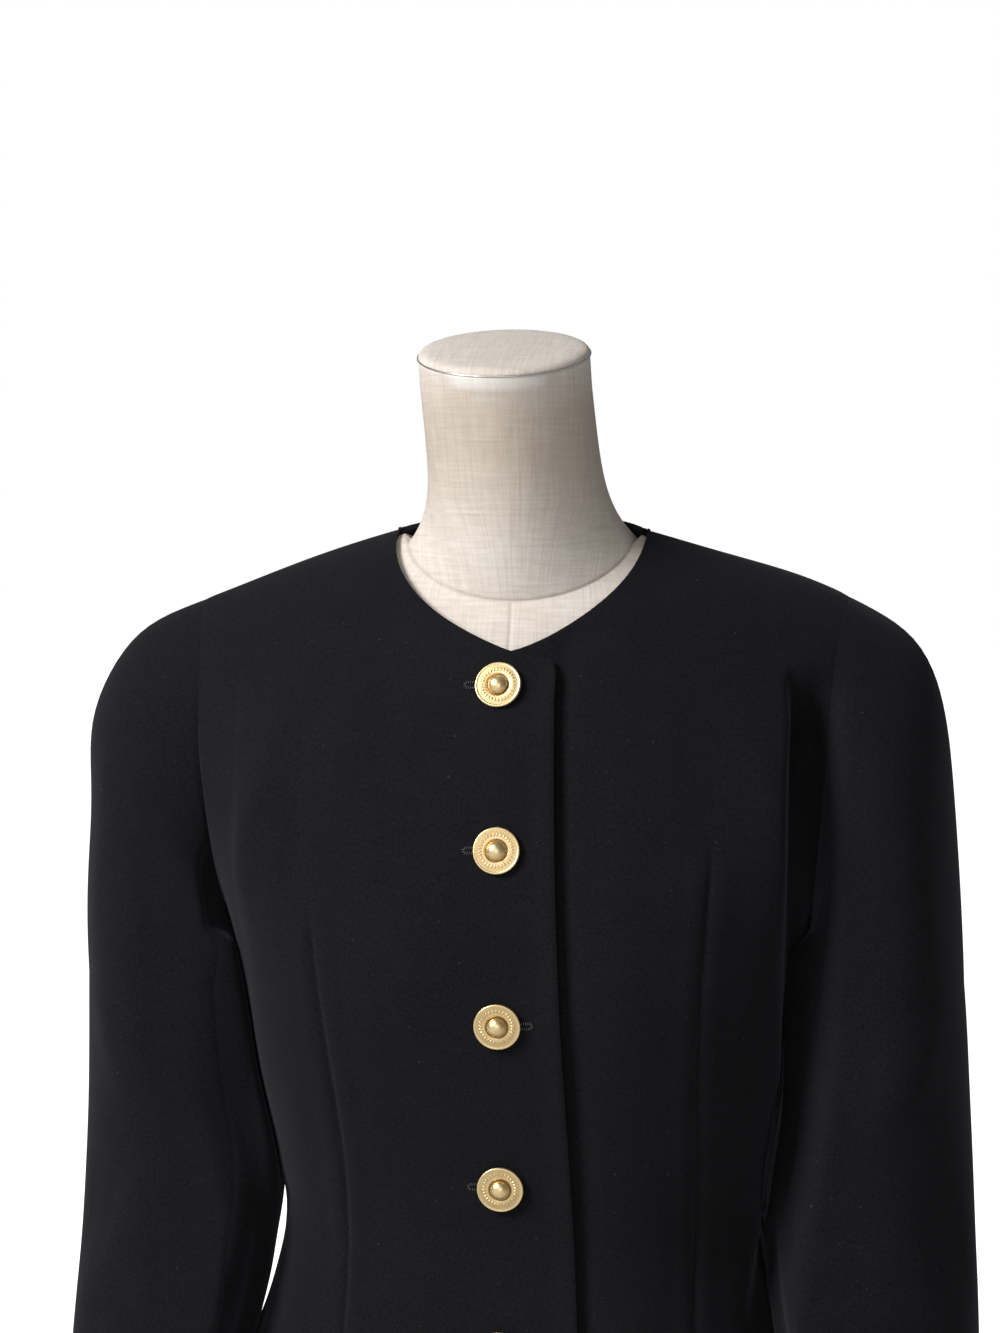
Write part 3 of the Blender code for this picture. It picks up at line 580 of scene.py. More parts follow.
def makeLinen():
    values = {"Roughness": 0.86, "Specular IOR Level": 0.30, "Sheen Weight": 0.10}
    material, tree, surface, place = newMaterial("linenCover", values)
    cut = place.node.outputs["UV"]
    threads = addNode(tree, "Group", {"Vector": cut}, node_tree=threadsGroup).node.outputs
    longPlace = addNode(tree, "Mapping", {"Vector": place, "Scale": (1.6, 1.6, 0.8)})
    height = addNode(tree, "SeparateXYZ", {0: place}, "Z")
    # more tan between two heights on the neck, and in clouds of uneven tone
    tanBand = mathNode(tree, "MULTIPLY", *(rampAt(tree, height, *ends) for ends in linen["tanHeights"]))
    tanShare = weighted(tree, (cloudsAt(tree, longPlace, 17, 95), 0.36), (tanBand, 0.74))
    colour = colourMix(tree, tanShare, linen["pale"], linen["tan"])
    for mask, strength, tone in (
        (rampAt(tree, threads["Streaks"], 0.64, 0.36), 0.34, "dark"),
        (threads["Slubs"], 0.16, "dark"),
        (attributeAt(tree, "seam"), 0.34, "dark"),
        # painted highlight on the tape under the rim
        (attributeAt(tree, "tapeHighlight"), 0.55, "tapeHighlight"),
    ):
        colour = colourMix(tree, weighted(tree, (mask, strength)), colour, linen[tone])
    tree.links.new(colour, surface["Base Color"])
    bumped(tree, surface, threads["Height"], 0.5, 0.0004)
    return material


gilt = {
    "bright": (0.920, 0.730, 0.400),
    "worn": (0.760, 0.530, 0.240),
    # painted shade for the button's hollows and its back
    "buttonShade": (0.240, 0.120, 0.036),
}


def makeGilt():
    material, tree, surface, place = newMaterial("giltMetal", {"Metallic": 1})
    wear = weighted(tree, (cloudsAt(tree, place, 160, 900), 0.5))
    colour = colourMix(tree, wear, gilt["bright"], gilt["worn"])
    # painted shade, darkest round the boss and behind
    colour = colourMix(tree, attributeAt(tree, "buttonShade"), colour, gilt["buttonShade"])
    tree.links.new(colour, surface["Base Color"])
    scratches = noiseAt(tree, place, (2600, 2600, 900))
    tree.links.new(rampAt(tree, scratches, -0.55, 2.2), surface["Roughness"])
    bumped(tree, surface, scratches, 0.12, 0.00005)
    return material


silk = {"dark": (0.012, 0.012, 0.015), "pale": (0.045, 0.044, 0.052)}


def makeThread():
    values = {"Roughness": 0.5, "Sheen Weight": 0.3}
    material, tree, surface, place = newMaterial("silkTwist", values)
    strands = noiseAt(tree, place, (900, 900, 4200))
    tree.links.new(colourMix(tree, strands, silk["dark"], silk["pale"]), surface["Base Color"])
    bumped(tree, surface, strands, 0.4, 0.0001)
    return material


steel = {"pale": (0.620, 0.605, 0.580), "dull": (0.520, 0.505, 0.480)}


def makeSteel():
    material, tree, surface, place = newMaterial("paintedSteel", {})
    clouds = cloudsAt(tree, place, 14, 220)
    tree.links.new(colourMix(tree, clouds, steel["pale"], steel["dull"]), surface["Base Color"])
    grit = noiseAt(tree, place, 1800)
    tree.links.new(rampAt(tree, grit, -0.9, 2.4), surface["Roughness"])
    bumped(tree, surface, grit, 0.10, 0.0002)
    return material


silver = {"bright": (0.86, 0.86, 0.88), "dull": (0.66, 0.64, 0.62)}


def makeSilver():
    material, tree, surface, place = newMaterial("silverWire", {"Metallic": 1})
    marks = noiseAt(tree, place, 700, 3)
    tree.links.new(colourMix(tree, marks, silver["bright"], silver["dull"]), surface["Base Color"])
    tree.links.new(rampAt(tree, marks, -0.3, 2.2), surface["Roughness"])
    return material


woolMaterial, linenMaterial, giltMaterial = makeWool(), makeLinen(), makeGilt()
threadMaterial, steelMaterial, silverMaterial = makeThread(), makeSteel(), makeSilver()
print("materials made")


def finishPiece(piece, slot, *nodes):
    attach(piece, "root")
    if nodes:
        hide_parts(*nodes)
    return piece


def evenUp(run, fine, wanted):
    # for each column, the rises at which it has run the lengths that are wanted
    rises = [np.interp(wanted(run[-1, j]), run[:, j], fine) for j in range(run.shape[1])]
    return np.array(rises).T


def panelColumns(neck, dart):
    # places across a half panel, close together at the neck point, the dart and the seam
    plain = np.linspace(0, 1, 54)
    close = [neck + d for d in (-0.012, -0.004, 0, 0.004, 0.012)]
    close += [dart + s * d for s in (-1, 1) for d in (0, 0.0035, 0.0075, 0.0125, 0.020, 0.030)]
    close += [0] + [1 - d for d in (0, 0.0036, 0.0075, 0.0125, 0.019, 0.026)]
    close += list(1 - np.arange(0.031, 0.215, 0.005))
    kept = [u for u in plain if min(abs(u - c) for c in close) > 0.007]
    return np.array(sorted(set(np.round(kept + close, 6))))


def halfPanel(facing, dartLine):
    # a half panel's outer face, its columns following the dart
    neck, dart = body["neckShare"], 0.52
    u = panelColumns(neck, dart)
    hem = body["levels"][0][0]
    lower = np.concatenate((hem - edgeSteps[:-1], np.linspace(hem - 0.010, 0.2312, 58)))
    fine = np.linspace(0, 1, 501)
    path = upperPoints(*np.broadcast_arrays(u, fine[:, None]), facing)
    rises = evenUp(runAlong(path, 0), fine, lambda whole: np.concatenate(
        (np.linspace(0, whole - edgeSteps[-1], 56), whole - edgeSteps[-2::-1])))
    count, dartColumn = len(lower) + len(rises), int(np.argmin(np.abs(u - dart)))
    shares = np.empty((count, len(u)))
    tries = np.linspace(0.15, 1, 500)
    for i in range(count):  # where the dart crosses this row
        if i < len(lower):
            line = lowerPoints(tries, np.full(500, lower[i]), facing)
        else:
            line = upperPoints(tries, np.full(500, rises[i - len(lower), dartColumn]), facing)
        off = line[:, 0] - curveAt(*zip(*dartLine), dropOf(line))
        at = tries[np.argmin(np.abs(off))]
        near = np.interp(0, off, tries) if np.all(np.diff(off) > 0) else at
        near = min(max(near, 0.25), 0.9)
        shares[i] = np.interp(u, [0, neck, dart, 1], [0, min(neck, near - 0.085), near, 1])
    low = lowerPoints(shares[: len(lower)], np.repeat(lower[:, None], len(u), 1), facing)
    high = upperPoints(shares[len(lower):], rises, facing)
    return np.concatenate((low, high)), u, dartColumn


def dartGroove(grid, column, tips):
    # pressed in along the dart's own column, fading out at both of its tips
    across = runAlong(grid, 1)
    distance = np.abs(across - across[:, column:column + 1])
    at = dropOf(grid)[:, column:column + 1]
    top, bottom = tips
    strength = fade((at - top) / 0.030) * fade((bottom - at) / 0.060)
    groove = -cloth["dartDepth"] * bell(distance, cloth["dartWidth"])
    puff = cloth["dartPuff"] * bell(distance - 0.0075, 0.0050)
    return strength * (groove + puff)


def panelLift(grid, folds, fromSide, beyondNeck, dartColumns, tips):
    # folds, pressed seams, turned edges and darts, as the fronts and the back have them
    down, drop = runAlong(grid, 0), dropOf(grid)
    fromTop = down[-1:] - down
    lift = folds * fade(fromSide / 0.020) * fade(fromTop / 0.018) * fade(down / 0.010)
    lift += pressedSeam(fromSide) * quietAbove(drop) + turnedEdge(down)
    shoulder = cloth["shoulderSeam"] * pressedSeam(fromTop) * fade(fromSide / 0.006)
    lift += np.where(beyondNeck, shoulder, turnedEdge(fromTop))
    for column in dartColumns:
        lift += dartGroove(grid, column, tips)
    return lift


def hemWave(girth, drop, waves, start):
    return 0.0012 * np.sin(girth * waves + start) * fade((drop - 0.54) / 0.08)


fronts = {
    "overlapTop": 0.0250,
    "overlapHem": 0.0510,
    "edgeLift": 0.0022,  # the buttoned edge stands off the front below it
    "trough": 0.0020,  # which gives way beside it
    "underlapDepth": 0.0030,
    "underlapFade": (0.030, 0.075),
    # the rounded upper corner: share of the overlap, and how far it has dropped there
    "corner": [(0.00, 0.0000), (0.35, 0.0022), (0.72, 0.0040), (0.91, 0.0060), (1.00, 0.0105)],
    "cornerSteps": (0.1, 0.2, 0.3, 0.4, 0.5, 0.6, 0.68, 0.75, 0.81, 0.86,
                    0.90, 0.935, 0.965, 0.985, 1.0),
    # drop and x of each dart, and the drops of its two tips
    "dart": {
        "left": [(0.000, 0.126), (0.165, 0.120), (0.374, 0.106), (0.450, 0.108), (0.620, 0.132)],
        "right": [(0.000, 0.112), (0.210, 0.108), (0.374, 0.090), (0.450, 0.093), (0.620, 0.116)],
    },
    "dartTips": {"left": (0.165, 0.520), "right": (0.205, 0.510)},
    # girth from the centre, drop, degrees from the vertical, half length, half width, height, bow
    "creases": {
        "right": [
            (0.158, 0.165, 3, 0.085, 0.0120, 0.0026, 0.25),
            (0.131, 0.150, -5, 0.070, 0.0150, -0.0014, 0.0),
            (0.104, 0.120, -14, 0.060, 0.0180, 0.0010, 0.3),
            (0.170, 0.238, 12, 0.060, 0.0110, -0.0012, 0.0),
            (0.122, 0.250, 24, 0.045, 0.0130, 0.0010, 0.2),
            (0.120, 0.330, 6, 0.080, 0.0140, 0.0012, 0.0),
            (0.150, 0.388, 68, 0.038, 0.0070, -0.0013, 0.4),
            (0.135, 0.412, 78, 0.050, 0.0080, -0.0011, -0.3),
            (0.165, 0.428, -72, 0.034, 0.0065, -0.0010, 0.3),
            (0.060, 0.470, 10, 0.060, 0.0160, 0.0009, 0.0),
            (0.120, 0.545, -4, 0.085, 0.0200, 0.0022, 0.2),
            (0.165, 0.560, 5, 0.070, 0.0140, -0.0020, 0.0),
            (0.050, 0.100, 62, 0.040, 0.0140, 0.0006, 0.0),
        ],
        "left": [
            (0.164, 0.150, 5, 0.090, 0.0130, 0.0020, -0.2),
            (0.138, 0.185, 2, 0.075, 0.0140, -0.0012, 0.2),
            (0.112, 0.105, -18, 0.050, 0.0160, 0.0008, 0.0),
            (0.176, 0.232, -10, 0.050, 0.0110, -0.0014, 0.2),
            (0.142, 0.262, 16, 0.050, 0.0120, 0.0010, 0.0),
            (0.134, 0.345, 4, 0.075, 0.0130, 0.0011, 0.0),
            (0.160, 0.395, 74, 0.042, 0.0070, -0.0012, 0.3),
            (0.142, 0.420, -80, 0.046, 0.0080, -0.0012, 0.4),
            (0.074, 0.405, 82, 0.030, 0.0070, -0.0007, 0.0),
            (0.085, 0.480, 8, 0.060, 0.0150, 0.0009, 0.0),
            (0.140, 0.550, 6, 0.080, 0.0190, 0.0021, -0.2),
            (0.190, 0.565, -6, 0.060, 0.0130, -0.0018, 0.0),
        ],
    },
}


def overlapAt(drop):
    top, hem = fronts["overlapTop"], fronts["overlapHem"]
    return top + (hem - top) * drop / body["levels"][0][0]


def withOverlap(grid):
    # the front goes on past the centre to its edge, with a rounded upper corner
    reachKeys, dropKeys = zip(*fronts["corner"])
    centreDrop = dropOf(grid[:, 0])
    nearTop = fade((0.110 - centreDrop) / (0.110 - body["neckDropFront"]))
    extra = []
    for step in reversed(fronts["cornerSteps"]):
        x = step * overlapAt(centreDrop)
        low = centreDrop + curveAt(reachKeys, dropKeys, step) * nearTop
        extra.append(points(-x, frontDepth(x, low), low))
    return np.concatenate((np.stack(extra, 1), grid), 1)


def frontPanel(side):
    half, u, dartColumn = halfPanel(-1, fronts["dart"][side])
    extra = len(fronts["cornerSteps"])
    neckColumn = extra + int(np.argmin(np.abs(u - body["neckShare"])))
    grid = withOverlap(half)
    fromEdge, down, drop = runAlong(grid, 1), runAlong(grid, 0), dropOf(grid)
    girth = fromEdge - fromEdge[:, extra:extra + 1]
    fromSide, fromTop = fromEdge[:, -1:] - fromEdge, down[-1:] - down
    folds = creasesAt(fronts["creases"][side], girth, drop) * fade((girth + 0.005) / 0.03)
    beyondNeck = np.arange(grid.shape[1]) > neckColumn
    tips = fronts["dartTips"][side]
    lift = panelLift(grid, folds, fromSide, beyondNeck, [extra + dartColumn], tips)
    lift += turnedEdge(fromEdge)
    lift += hemWave(girth, drop, 46, 0.6) * fade((girth - 0.02) / 0.05) * fade(fromSide / 0.03)
    if side == "right":
        lift += fronts["edgeLift"] * fade(1 - fromEdge / 0.016) * fade(fromTop / 0.012 + 0.25)
    grid = grid + gridNormals(grid, 1) * lift[..., None]
    if side == "left":  # it lies under the other front
        x, (start, end) = grid[..., 0], fronts["underlapFade"]
        grid[..., 1] += fronts["underlapDepth"] * (1 - fade((x - start) / (end - start)))
        trough = bell(x - overlapAt(drop) - 0.0025, 0.0065)
        grid[..., 1] += fronts["trough"] * trough * fade(fromTop / 0.012)
    grid[:, -1] = sewn(grid[:, -1], grid[:, -2])
    grid[-1, neckColumn:] = sewn(grid[-1], grid[-2])[neckColumn:]
    cut = np.stack((girth, down), -1)
    if side == "right":
        grid, cut = mirroredGrid(grid), cut[:, ::-1] * np.array((-1.0, 1.0))
    piece = clothPiece(f"{side}Front", grid, cut)
    return finishPiece(piece, "wool", f"{side}_front")


rightFront, leftFront = frontPanel("right"), frontPanel("left")
print("fronts made")


backPart = {
    "dart": [(0.000, 0.110), (0.200, 0.098), (0.405, 0.078), (0.500, 0.088), (0.620, 0.112)],
    "dartTips": (0.235, 0.540),
    "creases": [
        (0.128, 0.150, -12, 0.080, 0.0150, 0.0020, 0.2),
        (-0.134, 0.160, 9, 0.085, 0.0140, 0.0022, -0.2),
        (0.100, 0.110, -30, 0.050, 0.0150, -0.0010, 0.0),
        (-0.096, 0.105, 34, 0.055, 0.0160, -0.0011, 0.0),
        (0.165, 0.235, -26, 0.050, 0.0120, -0.0014, 0.2),
        (-0.160, 0.242, 22, 0.055, 0.0120, -0.0013, 0.0),
        (0.020, 0.352, 84, 0.070, 0.0090, -0.0014, 0.35),
        (-0.015, 0.378, 95, 0.085, 0.0085, -0.0016, -0.30),
        (0.030, 0.404, 86, 0.060, 0.0080, -0.0011, 0.25),
        (-0.120, 0.392, 108, 0.050, 0.0080, -0.0013, 0.3),
        (0.125, 0.400, 70, 0.052, 0.0080, -0.0013, -0.3),
        (0.000, 0.200, 0, 0.110, 0.0200, -0.0012, 0.0),
        (0.118, 0.545, 6, 0.085, 0.0210, 0.0024, 0.0),
        (-0.112, 0.550, -5, 0.085, 0.0220, 0.0022, 0.2),
        (0.045, 0.560, 2, 0.075, 0.0170, -0.0016, 0.0),
        (-0.048, 0.555, -3, 0.080, 0.0170, -0.0018, 0.0),
        (0.180, 0.540, 4, 0.080, 0.0150, -0.0018, 0.0),
        (-0.182, 0.550, -6, 0.070, 0.0150, -0.0016, 0.0),
    ],
}


def backPanel():
    half, u, dartColumn = halfPanel(1, backPart["dart"])
    grid = np.concatenate((mirroredGrid(half)[:, :-1], half), 1)
    middle = half.shape[1] - 1
    across, down, drop = runAlong(grid, 1), runAlong(grid, 0), dropOf(grid)
    girth = across - across[:, middle:middle + 1]
    fromSide = np.minimum(across, across[:, -1:] - across)
    neckStep = int(np.argmin(np.abs(u - body["neckShare"])))
    columns = np.abs(np.arange(grid.shape[1]) - middle)
    folds = creasesAt(backPart["creases"], girth, drop)
    darts = (middle - dartColumn, middle + dartColumn)
    lift = panelLift(grid, folds, fromSide, columns > neckStep, darts, backPart["dartTips"])
    lift += hemWave(girth, drop, 40, 1.1) * fade(fromSide / 0.03)
    grid = grid + gridNormals(grid, -1) * lift[..., None]
    grid[:, -1] = sewn(grid[:, -1], grid[:, -2])
    grid[:, 0] = sewn(grid[:, 0], grid[:, 1])
    seamed = columns >= neckStep
    grid[-1, seamed] = sewn(grid[-1], grid[-2])[seamed]
    cut = np.stack((girth, down), -1)
    piece = clothPiece("backPanel", grid[:, ::-1], cut[:, ::-1])
    return finishPiece(piece, "wool", "back")


backPiece = backPanel()
print("back made")


sleeves = {
    # drop, middle of the tube (x, y), half widths (x, y)
    "tube": [
        (0.262, 0.2085, -0.003, 0.0465, 0.0665),
        (0.310, 0.2055, -0.006, 0.0520, 0.0660),
        (0.365, 0.2020, -0.010, 0.0585, 0.0590),
        (0.430, 0.2085, -0.018, 0.0555, 0.0550),
        (0.500, 0.2195, -0.029, 0.0490, 0.0500),
        (0.570, 0.2325, -0.042, 0.0435, 0.0455),
        (0.640, 0.2390, -0.055, 0.0400, 0.0415),
    ],
    # round the arm in steps of 45 degrees from the shoulder by the front:
    # the way the sleeve leaves the seam, how far it holds it, and its rise from the biceps
    "cap": [
        (0.925, 0.00, 0.38, 0.0565, 0.197),
        (0.920, -0.04, 0.34, 0.0460, 0.142),
        (0.880, -0.22, 0.36, 0.0330, 0.085),
        (0.440, -0.46, 0.70, 0.0150, 0.030),
        (0.100, 0.00, 0.99, 0.0100, 0.010),
        (0.300, 0.50, 0.80, 0.0150, 0.030),
        (0.550, 0.78, 0.30, 0.0330, 0.085),
        (0.820, 0.48, 0.32, 0.0470, 0.145),
        (0.925, 0.00, 0.38, 0.0565, 0.197),
    ],
    "innerSquare": 5.0,  # squareness of the tube's quarter in front, beside the body; 2 is round
    # turn, drop, half length, half width in turns, height, lean of the broad soft forms
    "forms": [
        (0.20, 0.300, 0.060, 0.060, 0.0040, 0.9),
        (0.12, 0.400, 0.055, 0.050, -0.0040, -0.7),
        (0.30, 0.455, 0.050, 0.060, 0.0040, 0.8),
        (0.80, 0.370, 0.080, 0.070, 0.0040, -0.6),
        (0.70, 0.480, 0.060, 0.050, -0.0035, 0.5),
    ],
    "frontSeam": 8 / 24,
    "backSeam": 19 / 24,
    "girth": 0.36,  # a turn in metres, for the places of the creases
    "hugGap": 0.0011,  # between the body and the sleeve that lies against it
    "hugReach": 0.0110,  # cloth nearer to the body than this is drawn on to it
    "hugDrop": 0.227,
    # girth from the outside by the front, drop, degrees, half length, half width, height, bow
    "creases": {
        "left": [
            (0.060, 0.190, 4, 0.110, 0.0150, 0.0016, 0.3),
            (0.105, 0.240, -8, 0.080, 0.0120, -0.0014, 0.0),
            (0.085, 0.330, 28, 0.060, 0.0110, 0.0014, 0.3),
            (0.110, 0.405, 62, 0.045, 0.0080, -0.0022, 0.3),
            (0.095, 0.432, 74, 0.050, 0.0085, -0.0024, -0.4),
            (0.120, 0.462, 66, 0.042, 0.0075, -0.0018, 0.3),
            (0.030, 0.470, -40, 0.050, 0.0120, 0.0014, 0.0),
            (0.070, 0.540, 20, 0.060, 0.0120, 0.0013, 0.2),
            (0.020, 0.585, -14, 0.050, 0.0110, -0.0012, 0.0),
            (0.290, 0.300, 18, 0.080, 0.0140, 0.0016, 0.0),
            (0.300, 0.440, -64, 0.040, 0.0090, -0.0016, 0.3),
            (0.270, 0.500, -30, 0.060, 0.0120, 0.0015, 0.0),
            (0.180, 0.300, 10, 0.050, 0.0120, -0.0018, 0.0),
        ],
        "right": [
            (0.052, 0.205, 2, 0.120, 0.0160, 0.0014, -0.3),
            (0.098, 0.225, -6, 0.075, 0.0130, -0.0014, 0.0),
            (0.100, 0.345, 24, 0.055, 0.0110, 0.0015, 0.2),
            (0.098, 0.398, 70, 0.048, 0.0080, -0.0020, -0.3),
            (0.112, 0.428, 58, 0.045, 0.0080, -0.0024, 0.4),
            (0.090, 0.455, 80, 0.044, 0.0075, -0.0018, 0.2),
            (0.040, 0.450, -34, 0.050, 0.0120, 0.0013, 0.0),
            (0.080, 0.555, 12, 0.060, 0.0120, 0.0014, 0.0),
            (0.030, 0.600, -18, 0.040, 0.0100, -0.0011, 0.0),
            (0.285, 0.320, 14, 0.080, 0.0150, 0.0015, 0.0),
            (0.305, 0.425, -70, 0.042, 0.0090, -0.0017, -0.3),
            (0.262, 0.520, -24, 0.060, 0.0120, 0.0014, 0.0),
            (0.175, 0.310, 8, 0.050, 0.0120, -0.0017, 0.0),
        ],
    },
}


def tubePoints(turn, drop):
    x0, y0, halfX, halfY = columnsAt(sleeves["tube"], drop)
    out = 0
    for turn0, drop0, halfLength, halfWidth, height, lean in sleeves["forms"]:
        along = np.clip((drop - drop0) / halfLength, -1, 1)
        across = (turn - turn0 - lean * (drop - drop0) + 0.5) % 1 - 0.5
        out = out + height * np.cos(along * pi / 2) ** 2 / (1 + (across / halfWidth) ** 4)
    across, ahead = np.cos(turn * 2 * pi), np.sin(turn * 2 * pi)
    power = np.where((across < 0) & (ahead > 0), 2 / sleeves["innerSquare"], 1)
    across, ahead = (np.sign(v) * np.abs(v) ** power for v in (across, ahead))
    return points(x0 + (halfX + out) * across, y0 - (halfY + out) * ahead, drop)


def capPoints(turn, rise):
    # from the biceps (0) up to the armhole seam (1)
    outX, outY, outDrop, reach, lift = stepsAt(sleeves["cap"], turn)
    biceps = tubePoints(turn, np.full(turn.shape, sleeves["tube"][0][0]))
    seam = armholePoints(turn)
    out = np.stack((outX, outY, -outDrop), -1)
    out = out / np.linalg.norm(out, axis=-1, keepdims=True) * reach[..., None]
    up = np.zeros_like(out)
    up[..., 2] = lift
    t = rise[..., None]
    s = 1 - t
    below = biceps * s**3 + (biceps + up) * 3 * s * s * t
    return below + (seam + out) * 3 * s * t * t + seam * t**3


def againstBody(grid):
    # the inner side of the sleeve lies along the body, down to the waist
    made, y, drop = grid.copy(), grid[..., 1], dropOf(grid)
    level = columnsAt(body["levels"], np.maximum(drop, body["armpitDrop"]))
    halfWidth, front, back, square = level
    bodyX = halfWidth * squareRound(y / np.where(y < 0, front, back), square)
    away = grid[..., 0] - bodyX - sleeves["hugGap"]
    reach = sleeves["hugReach"] + 0.006 * fade(-y / 0.04)
    held = np.exp(-(np.maximum(away, 0) / reach) ** 4) * fade((drop - sleeves["hugDrop"]) / 0.012)
    made[..., 0] -= away * held
    return made


def sleeveGrid(first, last, columns):
    inner = np.linspace(first, last, columns)
    step = 1 / sleeves["girth"]
    close = [first + d * step for d in edgeSteps[:-1]] + [last - d * step for d in edgeSteps[:-1]]
    kept = [u for u in inner if min(abs(u - c) for c in close) > 0.003]
    turns = np.array(sorted(set(np.round(kept + close, 6))))
    around = turns % 1
    around[np.isclose(turns, 1)] = 1
    end = sleeves["tube"][-1][0]
    lower = np.concatenate((end - edgeSteps[:-1], np.linspace(end - 0.010, 0.2685, 58)))
    tube = tubePoints(*np.broadcast_arrays(around, lower[:, None]))
    fine = np.linspace(0, 1, 301)

    def wanted(whole):
        near = edgeSteps * min(1, whole / 0.030)
        return np.concatenate((np.linspace(0, whole - near[-1], 36), whole - near[-2::-1]))

    path = capPoints(*np.broadcast_arrays(around, fine[:, None]))
    rises = evenUp(runAlong(path, 0), fine, wanted)
    cap = capPoints(np.broadcast_to(around, rises.shape), rises)
    return againstBody(np.concatenate((tube, cap))), turns


def sleevePiece(side, name, first, last, columns):
    grid, turns = sleeveGrid(first, last, columns)
    across, down, drop = runAlong(grid, 1), runAlong(grid, 0), dropOf(grid)
    girth = np.repeat((turns % 1)[None] * sleeves["girth"], len(grid), 0)
    fromSeam = np.minimum(across, across[:, -1:] - across)
    fromTop = down[-1:] - down
    inside = fade(fromSeam / 0.016 + 0.15) * fade(fromTop / 0.030) * fade(down / 0.012)
    creases = sleeves["creases"][side]
    lift = creasesAt(creases, girth, drop) + creasesAt(creases, girth - sleeves["girth"], drop)
    lift = lift * inside + cloth["sleeveSeam"] * pressedSeam(fromSeam) * fade(fromTop / 0.006)
    lift += pressedSeam(fromTop) * quietAbove(drop) + turnedEdge(down)
    grid = grid + gridNormals(grid, -1) * lift[..., None]
    grid[:, 0] = sewn(grid[:, 0], grid[:, 1])
    grid[:, -1] = sewn(grid[:, -1], grid[:, -2])
    grid[-1] = sewn(grid[-1], grid[-2])
    cut = np.stack((across - across[:, -1:] / 2, down), -1)
    grid, cut = grid[:, ::-1], cut[:, ::-1]
    if side == "right":
        grid, cut = mirroredGrid(grid), cut[:, ::-1] * np.array((-1.0, 1.0))
    piece = clothPiece(f"{side}{name}Sleeve", grid, cut)
    return finishPiece(piece, "wool", f"{side}_{name.lower()}_sleeve")


for side in ("left", "right"):
    topSleeve = sleevePiece(side, "Top", sleeves["backSeam"] - 1, sleeves["frontSeam"], 104)
    underSleeve = sleevePiece(side, "Under", sleeves["frontSeam"], sleeves["backSeam"], 96)
print("sleeves made")


def chooseFaces(piece, test):
    # selects faces by their place or normal, in edit mode
    bpy.ops.mesh.select_all(action="DESELECT")
    bpy.ops.mesh.select_mode(type="FACE")
    live = bmesh.from_edit_mesh(piece.data)
    for face in live.faces:
        face.select_set(bool(test(face)))
    bmesh.update_edit_mesh(piece.data)


def stepUp(rings):
    # a turned profile: each ring is (radius, height), from the face that is selected
    for (radius, height), (nextRadius, nextHeight) in zip(rings, rings[1:]):
        bpy.ops.mesh.inset(thickness=radius - nextRadius, depth=nextHeight - height)


def newTurned(name, sides, radius, low, high):
    bpy.ops.object.select_all(action="DESELECT")
    middle = (0, 0, (low + high) / 2)
    bpy.ops.mesh.primitive_cylinder_add(
        vertices=sides, radius=radius, depth=high - low, location=middle)
    piece = bpy.context.active_object
    piece.name = piece.data.name = name
    bpy.ops.object.transform_apply(location=True, rotation=True, scale=True)
    bpy.ops.object.mode_set(mode="EDIT")
    return piece


def doneTurned(piece, material, angle=40):
    bpy.ops.mesh.select_all(action="SELECT")
    bpy.ops.mesh.normals_make_consistent(inside=False)
    bpy.ops.object.mode_set(mode="OBJECT")
    piece.data.materials.clear()
    piece.data.materials.append(material)
    bpy.ops.object.shade_smooth_by_angle(angle=radians(angle))
    return piece


def setAttribute(piece, name, values):
    layer = piece.data.attributes.get(name) or piece.data.attributes.new(name, "FLOAT", "POINT")
    layer.data.foreach_set("value", np.asarray(values, np.float32))


def vertexPlaces(piece):
    places = np.empty(len(piece.data.vertices) * 3)
    piece.data.vertices.foreach_get("co", places)
    return places.reshape(-1, 3)


buttons = {
    # x and drop of each button
    "places": [(-0.0029, 0.0832), (-0.0001, 0.1735), (0.0012, 0.2710),
               (0.0006, 0.3675), (-0.0004, 0.4640)],
    "turn": 0.9,  # from each button to the next, on its shank
    "height": 0.0062,
    "shankRadius": 0.003,
    "shank": 0.0016,
    "sides": 80,
    "ticks": 30,
    "tickPlace": (0.0091, 0, 0.0020),
    # radius and height, from the edge over the rim and the field to the top of the boss
    "rings": [
        (0.0133, 0.0013), (0.0132, 0.0016), (0.0130, 0.00185), (0.0127, 0.00195), (0.0123, 0.00195),
        (0.0120, 0.00180), (0.0117, 0.00178), (0.0112, 0.0018), (0.0092, 0.0019), (0.0072, 0.0019),
        (0.0065, 0.0018), (0.0061, 0.0013), (0.0057, 0.0013), (0.0056, 0.0022), (0.0054, 0.0030),
        (0.0050, 0.0039), (0.0043, 0.0047), (0.0034, 0.0054), (0.0023, 0.0059), (0.0011, 0.0062),
        (0.0003, 0.00625),
    ],
    "holeLength": 0.0270,
    "holeWidth": 0.0030,
    # how far each button has slid in its hole
    "holeShift": (-0.0060, -0.0055, 0.0062, -0.0050, -0.0055),
    "stitches": 46,
}


def surfaceFrame(x, drop):
    # a place on the buttoned front, its normal, and level and upright directions on it
    step = 0.004

    def at(px, pd):
        px, pd = np.array([px]), np.array([pd])
        return Vector(points(px, frontDepth(px, pd), pd)[0])

    across = at(x + step, drop) - at(x - step, drop)
    down = at(x, drop + step) - at(x, drop - step)
    normal = down.cross(across).normalized()
    return at(x, drop), normal, across.normalized(), normal.cross(across.normalized())


